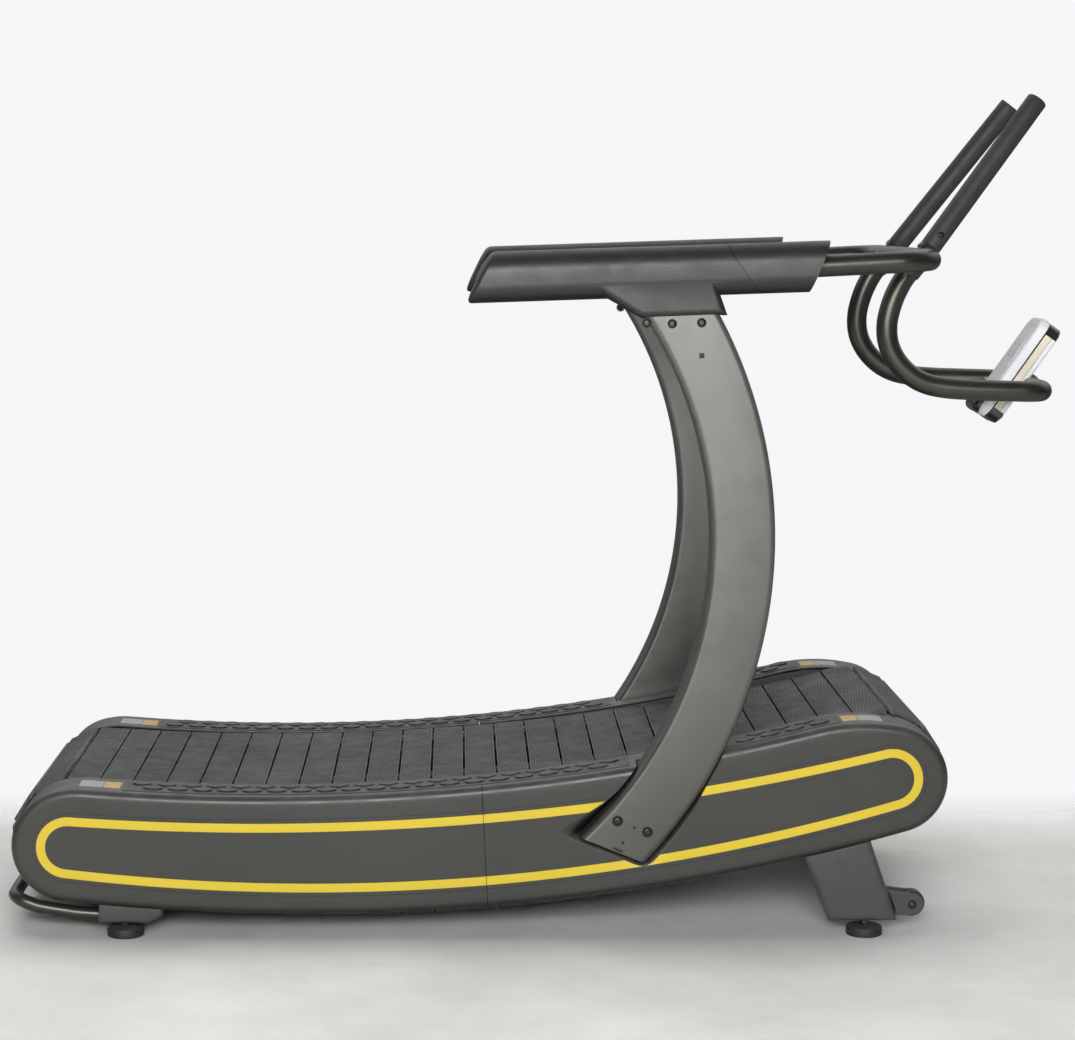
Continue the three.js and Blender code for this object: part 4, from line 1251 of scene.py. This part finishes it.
def build_front_bar():
    (x0, x1), (z0, z1), y = BAR["x"], BAR["z"], BAR["y"]
    start, corner = Vector((x0, y, z0)), Vector((x1, y, z1))
    half = [start, start.lerp(corner, 0.3), start.lerp(corner, 0.6)]
    half += bend(start, corner, flipped(corner), BAR["bend"])
    parts = [tube("bar", mirrored_path(half, (220, 120, 0, -120, -220)), BAR_R, 32)]
    for sign in SIDES.values():
        stub = [grip_point(s, sign) for s in (0.0, 0.04, 0.08, 0.12)]
        parts.append(tube("stub", stub, [18.2, 18.2, 17.6, 16.6], 28))
        weld = [grip_point(s, sign) for s in (0.04, 0.052, 0.060, 0.068)]
        parts.append(tube("weld", weld, [20.8, 20.4, 20.0, 19.2], 28, 0.8))
    finish_piece(joined("front_bar_tube", parts), "frame", "tube_paint", ["front_bar"])


def build_grips():
    for side, sign in SIDES.items():
        path = [grip_point(0.066 + 0.934 * k / 10, sign) for k in range(11)]
        sleeve = tube(f"grip_{side}_sleeve", path, 19, 32, 3.0)
        finish_piece(sleeve, "frame", "grip_foam", [f"grip_{side}"])
        along = (path[-1] - path[0]).normalized()
        out = Vector((0, sign, 0))
        out = (out - along * out.dot(along)).normalized()
        centre = grip_point(0.14, sign) + out * 18.8
        screw(f"grip_screw_{side}", tuple(centre), tuple(out), 5.0, "frame")


LOOP_SIDE = (
    (757, 1205),
    (742, 1187),
    (726, 1164),
    (711, 1131),
    (702, 1093),
    (704, 1058),
    (717, 1028),
    (740, 1002),
    (770, 984),
    (808, 975),
    (864, 971),
)


def build_loop():
    side = smooth_path([Vector((x, LOOP_Y, z)) for x, z in LOOP_SIDE])
    corner = Vector((LOOP_FRONT[0], LOOP_Y, LOOP_FRONT[1]))
    half = [*side, *bend(side[-1], corner, flipped(corner), 46)]
    path = mirrored_path(half, (80, 0, -80))
    parts = [tube("loop", path, BAR_R, 30)]
    for ends in (path[:9], path[-9:][::-1]):
        parts.append(tube("collar", ends, [21.2] * 8 + [20.2], 30, 0.8))
    finish_piece(joined("console_loop_tube", parts), "frame", "tube_paint", ["console_loop"])


# ---- console ------------------------------------------------------------------------
CONSOLE = (970, 1000)
LEAN = math.radians(55.5)


def on_console(a, y, t):
    """From along, across and out of the console's face to the side view's axes."""
    x = CONSOLE[0] + a * math.cos(LEAN) - t * math.sin(LEAN)
    z = CONSOLE[1] + a * math.sin(LEAN) + t * math.cos(LEAN)
    return (x, y, z)


def plate(name, along, half, corner, low, high, rounds=(1.0, 1.0)):
    a0, a1 = along
    corners = [(a0, -half, corner), (a1, -half, corner), (a1, half, corner), (a0, half, corner)]
    return slab(name, filleted(corners, 10), low, high, rounds, on_console, 6)


def build_console():
    shell = plate("console_front_cover", (-106, 106), 57, 24, 0, 18, (1.0, 8.0))
    carve(shell, plate("window", (-46, 88), 44, 8, 16.2, 30))
    finish_piece(shell, "console", "console_plastic", ["console_front_shell"])
    lens = plate("console_lens_glass", (-45.5, 87.5), 43.5, 7.6, 16.4, 18.2, (0.3, 0.6))
    finish_piece(lens, "console", "console_lens", ["console_lens"])
    screen = plate("console_screen", (-8, 62), 34, 4, 18.2, 18.5, (0.0, 0.1))
    finish_piece(screen, "console", "console_lens")
    rim = plate("console_rim", (-105.2, 105.2), 56.4, 23.4, -2.8, 0.1, (0.2, 0.2))
    finish_piece(rim, "console", "console_dark")
    band_piece = plate("console_middle", (-104, 104), 55.8, 22, -16.2, -2.7, (0.6, 0.4))
    finish_piece(band_piece, "console", "console_band")
    gasket = plate("console_gasket", (-103, 103), 54.6, 21.5, -17, -16.1, (0.1, 0.1))
    finish_piece(gasket, "console", "console_dark")
    back = plate("console_back", (-103.5, 103.5), 55.2, 22, -27, -16.9, (5.0, 0.6))
    finish_piece(back, "console", "console_plastic", ["console_rear_shell"])
    # Painted shade and reflection: dark glossy pieces over the console's rounded corner ends stand for
    # their dark shading.
    rims = plate("console_corner_rims", (-105, 105), 56.4, 23.2, -26, -0.6, (3.5, 1.0))
    square = [(-82, -80), (82, -80), (82, 80), (-82, 80)]
    carve(rims, slab("middle", square, -40, 20, put=on_console))
    finish_piece(rims, "console", "console_dark")
    pod = plate("console_pod", (-107, -66), 48, 18, 12, 31, (1.0, 12.0))
    for y in (-30, 0, 30):
        carve(pod, turned("hole", [(7.5, 20.4), (7.5, 40)], on_console(-86, y, 0), on_normal(), 28))
    finish_piece(pod, "console", "console_dark")
    cap = [(6.6, 23.2), (7, 23.6), (7, 31.2), (6.4, 32.4), (5, 33), (3, 32.8), (0, 32.7)]
    for name, y in (("mode", -30), ("set", 0), ("reset", 30)):
        button = turned(f"button_{name}_cap", cap, on_console(-86, y, 0), on_normal(), 28)
        finish_piece(button, f"{name}_button", "button_plastic", [f"button_{name}"])
    for k, (a, y) in enumerate(((-88, -44), (-88, 44), (92, -40), (92, 40))):
        out = tuple(-c for c in on_normal())
        screw(f"console_screw_{k}", on_console(a, y, -27), out, 3.4, "console")
    build_digits()


def on_normal():
    return (-math.sin(LEAN), 0, math.cos(LEAN))


def build_digits():
    """Plain seven-bar zeros on the screen."""
    parts = []
    for k in range(4):
        y = (k - 1.5) * 14 + (2 if k > 1 else -2)
        for a0, a1, y0, y1 in (
            (16, 18, -4, 4),
            (42, 44, -4, 4),
            (18.6, 29.4, -5, -3.4),
            (18.6, 29.4, 3.4, 5),
            (30.6, 41.4, -5, -3.4),
            (30.6, 41.4, 3.4, 5),
        ):
            outline = [(a0, y + y0), (a1, y + y0), (a1, y + y1), (a0, y + y1)]
            parts.append(slab("bar", outline, 18.5, 18.7, (0, 0), on_console))
    finish_piece(joined("console_digits", parts), "console", "console_dark")


# ---- what it stands on --------------------------------------------------------------
LIFT_BAR_Y = 300


def build_lift_bar():
    marks = ((-700, 32.5), (-723, 33.5), (-752, 36), (-791, 42), (-820, 47.5))
    half = [Vector((x, LIFT_BAR_Y, z)) for x, z in marks]
    corner = Vector((-864, LIFT_BAR_Y, 64))
    half += bend(half[-1], corner, flipped(corner), 30)
    parts = [tube("bar", mirrored_path(half, (150, 0, -150)), 12, 24)]
    for sign in SIDES.values():
        flange = [Vector((x, sign * LIFT_BAR_Y, 32.6)) for x in (-712, -707.2)]
        parts.append(tube("flange", flange, 15.5, 24, 0.8))
    finish_piece(joined("rear_lift_tube", parts), "frame", "tube_paint", ["rear_lift_bar"])


def cover_tool(sign):
    return lofted("cover_tool", [at_depth(chain(COVER, -0.5), sign * y) for y in (240, 420)])


BRACKET_Y = (254, 345)
FOOT_X, FOOT_Y = 661, 320


def build_stand():
    for side, sign in SIDES.items():
        outline = [(-706, 27), (-618, 27), (-594, 38), (-592, 90), (-706, 90)]
        bracket = slab(f"rear_foot_{side}_bracket", outline, *BRACKET_Y, (3, 7), across(sign), 5)
        carve(bracket, cover_tool(sign))
        finish_piece(bracket, "frame", "frame_paint", [f"rear_foot_bracket_{side}"])
        outline = [(595, 29), (718, 29), (645, 240), (511, 240)]
        leg = slab(f"front_leg_{side}_tube", outline, *BRACKET_Y, (12, 12), across(sign), 7)
        finish_piece(carve(leg, cover_tool(sign)), "frame", "frame_paint", [f"front_leg_{side}"])
        for end, x in (("rear", -FOOT_X), ("front", FOOT_X)):
            build_foot(f"foot_{end}_{side}", x, sign * FOOT_Y)
        build_wheel(side, sign)


# (radius, height) corners of a foot's pad.
PAD = (
    (0, 0),
    (30.5, 0),
    (32.3, 1.2),
    (32.5, 3),
    (32.5, 13),
    (31.6, 15.4),
    (29, 16.4),
    (26, 17),
    (12, 18.4),
    (8, 18.6),
    (0, 18.6),
)


def build_foot(node, x, y):
    """A levelling foot: a rubber pad with a dished top, a lock nut and a threaded stud."""
    pad = turned(node + "_pad", PAD, (x, y, 0), (0, 0, 1), 48)
    finish_piece(pad, node, "foot_rubber", [node])
    thread = [(0, 18.2)]
    for k in range(24):
        thread.append((5.9 if k % 2 else 5.2, 18.4 + k * 1.1))
    thread += [(5.2, 45), (0, 45)]
    finish_piece(turned(node + "_stud", thread, (x, y, 0), (0, 0, 1), 24), node, "bare_steel")
    hexagon = [polar((x, y), 9, t) for t in turns(6)]
    nut = slab(node + "_nut", hexagon, 18.8, 22.6, (0.5, 0.5), lambda a, b, w: (a, b, w), 3)
    finish_piece(nut, node, "screw_steel")


WHEEL = (746, 56)
WHEEL_Y = (300.4, 321.6)
# (radius, distance in from the wheel's side) corners of one half of its tread.
TREAD = ((5.7, 0), (19, 0), (20, 0.8), (21.6, 0.2), (23.4, 1.2), (24, 3.2))


def build_wheel(side, sign):
    hub = (WHEEL[0], 0, WHEEL[1])
    y0, y1 = WHEEL_Y
    tread = [*((r, y0 + off) for r, off in TREAD), *((r, y1 - off) for r, off in TREAD[::-1])]
    wheel = turned(f"wheel_{side}_tyre", [*tread, tread[0]], hub, (0, sign, 0), 48)
    finish_piece(wheel, f"wheel_{side}", "wheel_plastic", [f"wheel_{side}"])
    nose = [polar(WHEEL, 20.5, (-0.52 + 1.04 * k / 20) * math.pi) for k in range(21)]
    outline = [(716, 36.5), *nose, (703, 82), (702, 78)]
    rims = (0.8, 0.8)
    ears = [
        slab("ear", outline, *span, rims, across(sign), 3) for span in ((293, 298), (324, 329))
    ]
    foot = [(713.6, 43.5), (718.5, 43.5), (703.5, 84), (699.2, 84)]
    base = slab("base", foot, 293, 329, rims, across(sign), 3)
    pin = turned("pin", [(0, 291), (5, 291), (5, 330), (0, 330)], hub, (0, sign, 0), 24)
    made = joined(f"wheel_{side}_bracket", [*ears, base, pin])
    finish_piece(made, "frame", "frame_paint", [f"wheel_bracket_{side}"])
    screw(f"wheel_bolt_{side}", (WHEEL[0], sign * 329, WHEEL[1]), (0, sign, 0), 6.2, "frame")


# ---- inner pieces that the CAD already shapes well ----------------------------------
def dress_cad():
    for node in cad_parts:
        if node.startswith(("side_frame", "cross_beam", "bearing_block", "console_clamp")):
            dress_node(node, "frame_paint")
        elif node.startswith("guide_rail") or node.endswith("_axle"):
            dress_node(node, "bare_steel")
        elif "pulley" in node:
            dress_node(node, "pulley_metal")


# ---- floor, light and camera --------------------------------------------------------
def build_floor():
    """A pale floor that fades into the white of the backdrop behind the machine."""
    mesh = bpy.data.meshes.new("floor")
    far = 14.0
    points = [(-far, -far, 0), (far, -far, 0), (far, far, 0), (-far, far, 0)]
    mesh.from_pydata(points, [], [(0, 1, 2, 3)])
    floor = bpy.data.objects.new("floor", mesh)
    bpy.context.scene.collection.objects.link(floor)
    g = Graph("floor_vinyl")
    y = g.node("ShaderNodeSeparateXYZ", {0: g.at}).outputs[1]
    veins = g.span(g.noise(2.2, 8.0, 0.62), 0.35, 0.65, 0.0, 1.0)
    grey = g.mix(veins, (0.335, 0.335, 0.32, 1.0), (0.415, 0.415, 0.405, 1.0))
    grey = g.mix(g.span(g.noise(11.0, 6.0), 0.62, 0.75, 0.0, 0.35), grey, (0.275, 0.275, 0.263, 1.0))
    g.feed(g.shader.inputs["Base Color"], grey)
    g.shader.inputs["Roughness"].default_value = 0.7
    g.shader.inputs["Specular IOR Level"].default_value = 0.2
    g.feed(g.shader.inputs["Alpha"], g.span(y, 0.40, 0.85, 1.0, 0.0))
    g.bump(g.noise(90.0), 0.0003)
    mesh.materials.append(g.material)


def area_light(name, location, target, size, power, only=None):
    """A soft light; only names the one object it lights, though everything still shades it."""
    data = bpy.data.lights.new(name, "AREA")
    data.shape, data.size, data.size_y = "RECTANGLE", size[0], size[1]
    data.energy = power
    light = bpy.data.objects.new(name, data)
    light.location = location
    light.rotation_mode = "QUATERNION"
    light.rotation_quaternion = (Vector(target) - Vector(location)).to_track_quat("-Z", "Y")
    bpy.context.scene.collection.objects.link(light)
    if only:
        receivers = bpy.data.collections.new(name + "_receivers")
        receivers.objects.link(bpy.data.objects[only])
        light.light_linking.receiver_collection = receivers


def build_world():
    """White to the camera; for light and reflections, a bright back, a soft front and dark sides."""
    world = bpy.data.worlds.new("studio")
    world.use_nodes = True
    bpy.context.scene.world = world
    tree = world.node_tree
    direction = tree.nodes.new("ShaderNodeTexCoord").outputs["Generated"]
    split = tree.nodes.new("ShaderNodeSeparateXYZ")
    tree.links.new(direction, split.inputs[0])
    ramp = tree.nodes.new("ShaderNodeValToRGB")
    stops = ((0.0, 0.10), (0.35, 0.06), (0.52, 0.12), (0.70, 1.2), (1.0, 2.4))
    marks = ramp.color_ramp.elements
    for position, level in stops:
        stop = marks.new(position) if position else marks[0]
        stop.position, stop.color = position, (level, level, level, 1)
    marks.remove(marks[-1])
    shift = tree.nodes.new("ShaderNodeMath")
    shift.operation = "MULTIPLY_ADD"
    shift.inputs[1].default_value, shift.inputs[2].default_value = 0.5, 0.5
    tree.links.new(split.outputs[1], shift.inputs[0])
    tree.links.new(shift.outputs[0], ramp.inputs[0])
    seen = tree.nodes.new("ShaderNodeBackground")
    seen.inputs[0].default_value, seen.inputs[1].default_value = (0.925, 0.92, 0.94, 1), 1.0
    lit = tree.nodes["Background"]
    tree.links.new(ramp.outputs[0], lit.inputs[0])
    rise = tree.nodes.new("ShaderNodeMapRange")
    for key, value in ((1, 0.05), (2, 0.45), (3, 0.12), (4, 1.0)):
        rise.inputs[key].default_value = value
    tree.links.new(split.outputs[2], rise.inputs[0])
    tree.links.new(rise.outputs[0], lit.inputs[1])
    mix = tree.nodes.new("ShaderNodeMixShader")
    tree.links.new(tree.nodes.new("ShaderNodeLightPath").outputs["Is Camera Ray"], mix.inputs[0])
    tree.links.new(lit.outputs[0], mix.inputs[1])
    tree.links.new(seen.outputs[0], mix.inputs[2])
    tree.links.new(mix.outputs[0], tree.nodes["World Output"].inputs[0])


def build_lights():
    area_light("front", (-0.3, -5.4, 2.15), (0, 0, 0.9), (3.0, 1.6), 270)
    area_light("left", (-2.5, -5.0, 1.6), (0, 0, 0.7), (0.3, 2.2), 12)
    area_light("overhead", (0.0, 0.5, 3.4), (0, -0.1, 0.0), (4.5, 3.0), 150, "floor")


def build_camera():
    """The camera at the photograph's view: position, yaw, pitch and roll in the row frame."""
    yaw, pitch, roll = 0.0301747, 0.1145060, 0.0064546
    data = bpy.data.cameras.new("camera")
    data.sensor_width, data.lens = 36.0, 89.78
    data.clip_start, data.clip_end = 0.05, 60
    camera = bpy.data.objects.new("camera", data)
    level = Vector((math.sin(yaw), math.cos(yaw), 0))
    forward = level * math.cos(pitch) - Vector((0, 0, math.sin(pitch)))
    right = Vector((math.cos(yaw), -math.sin(yaw), 0))
    up = right.cross(forward)
    rolled_right = right * math.cos(roll) + up * math.sin(roll)
    rolled_up = up * math.cos(roll) - right * math.sin(roll)
    turn = Matrix((rolled_right, rolled_up, -forward)).transposed()
    camera.matrix_world = Matrix.Translation((-0.159373, -5.008152, 1.286823)) @ turn.to_4x4()
    bpy.context.scene.collection.objects.link(camera)
    bpy.context.scene.camera = camera


build_slats()
build_belts()
build_covers()
build_tread_strips()
build_stickers()
build_uprights()
build_arms()
build_front_bar()
build_grips()
build_loop()
build_console()
build_lift_bar()
build_stand()
dress_cad()
build_floor()
bpy.context.scene.view_settings.view_transform = "Standard"
build_world()
build_lights()
build_camera()


def corners(box):
    return [list(corner) for corner in box]
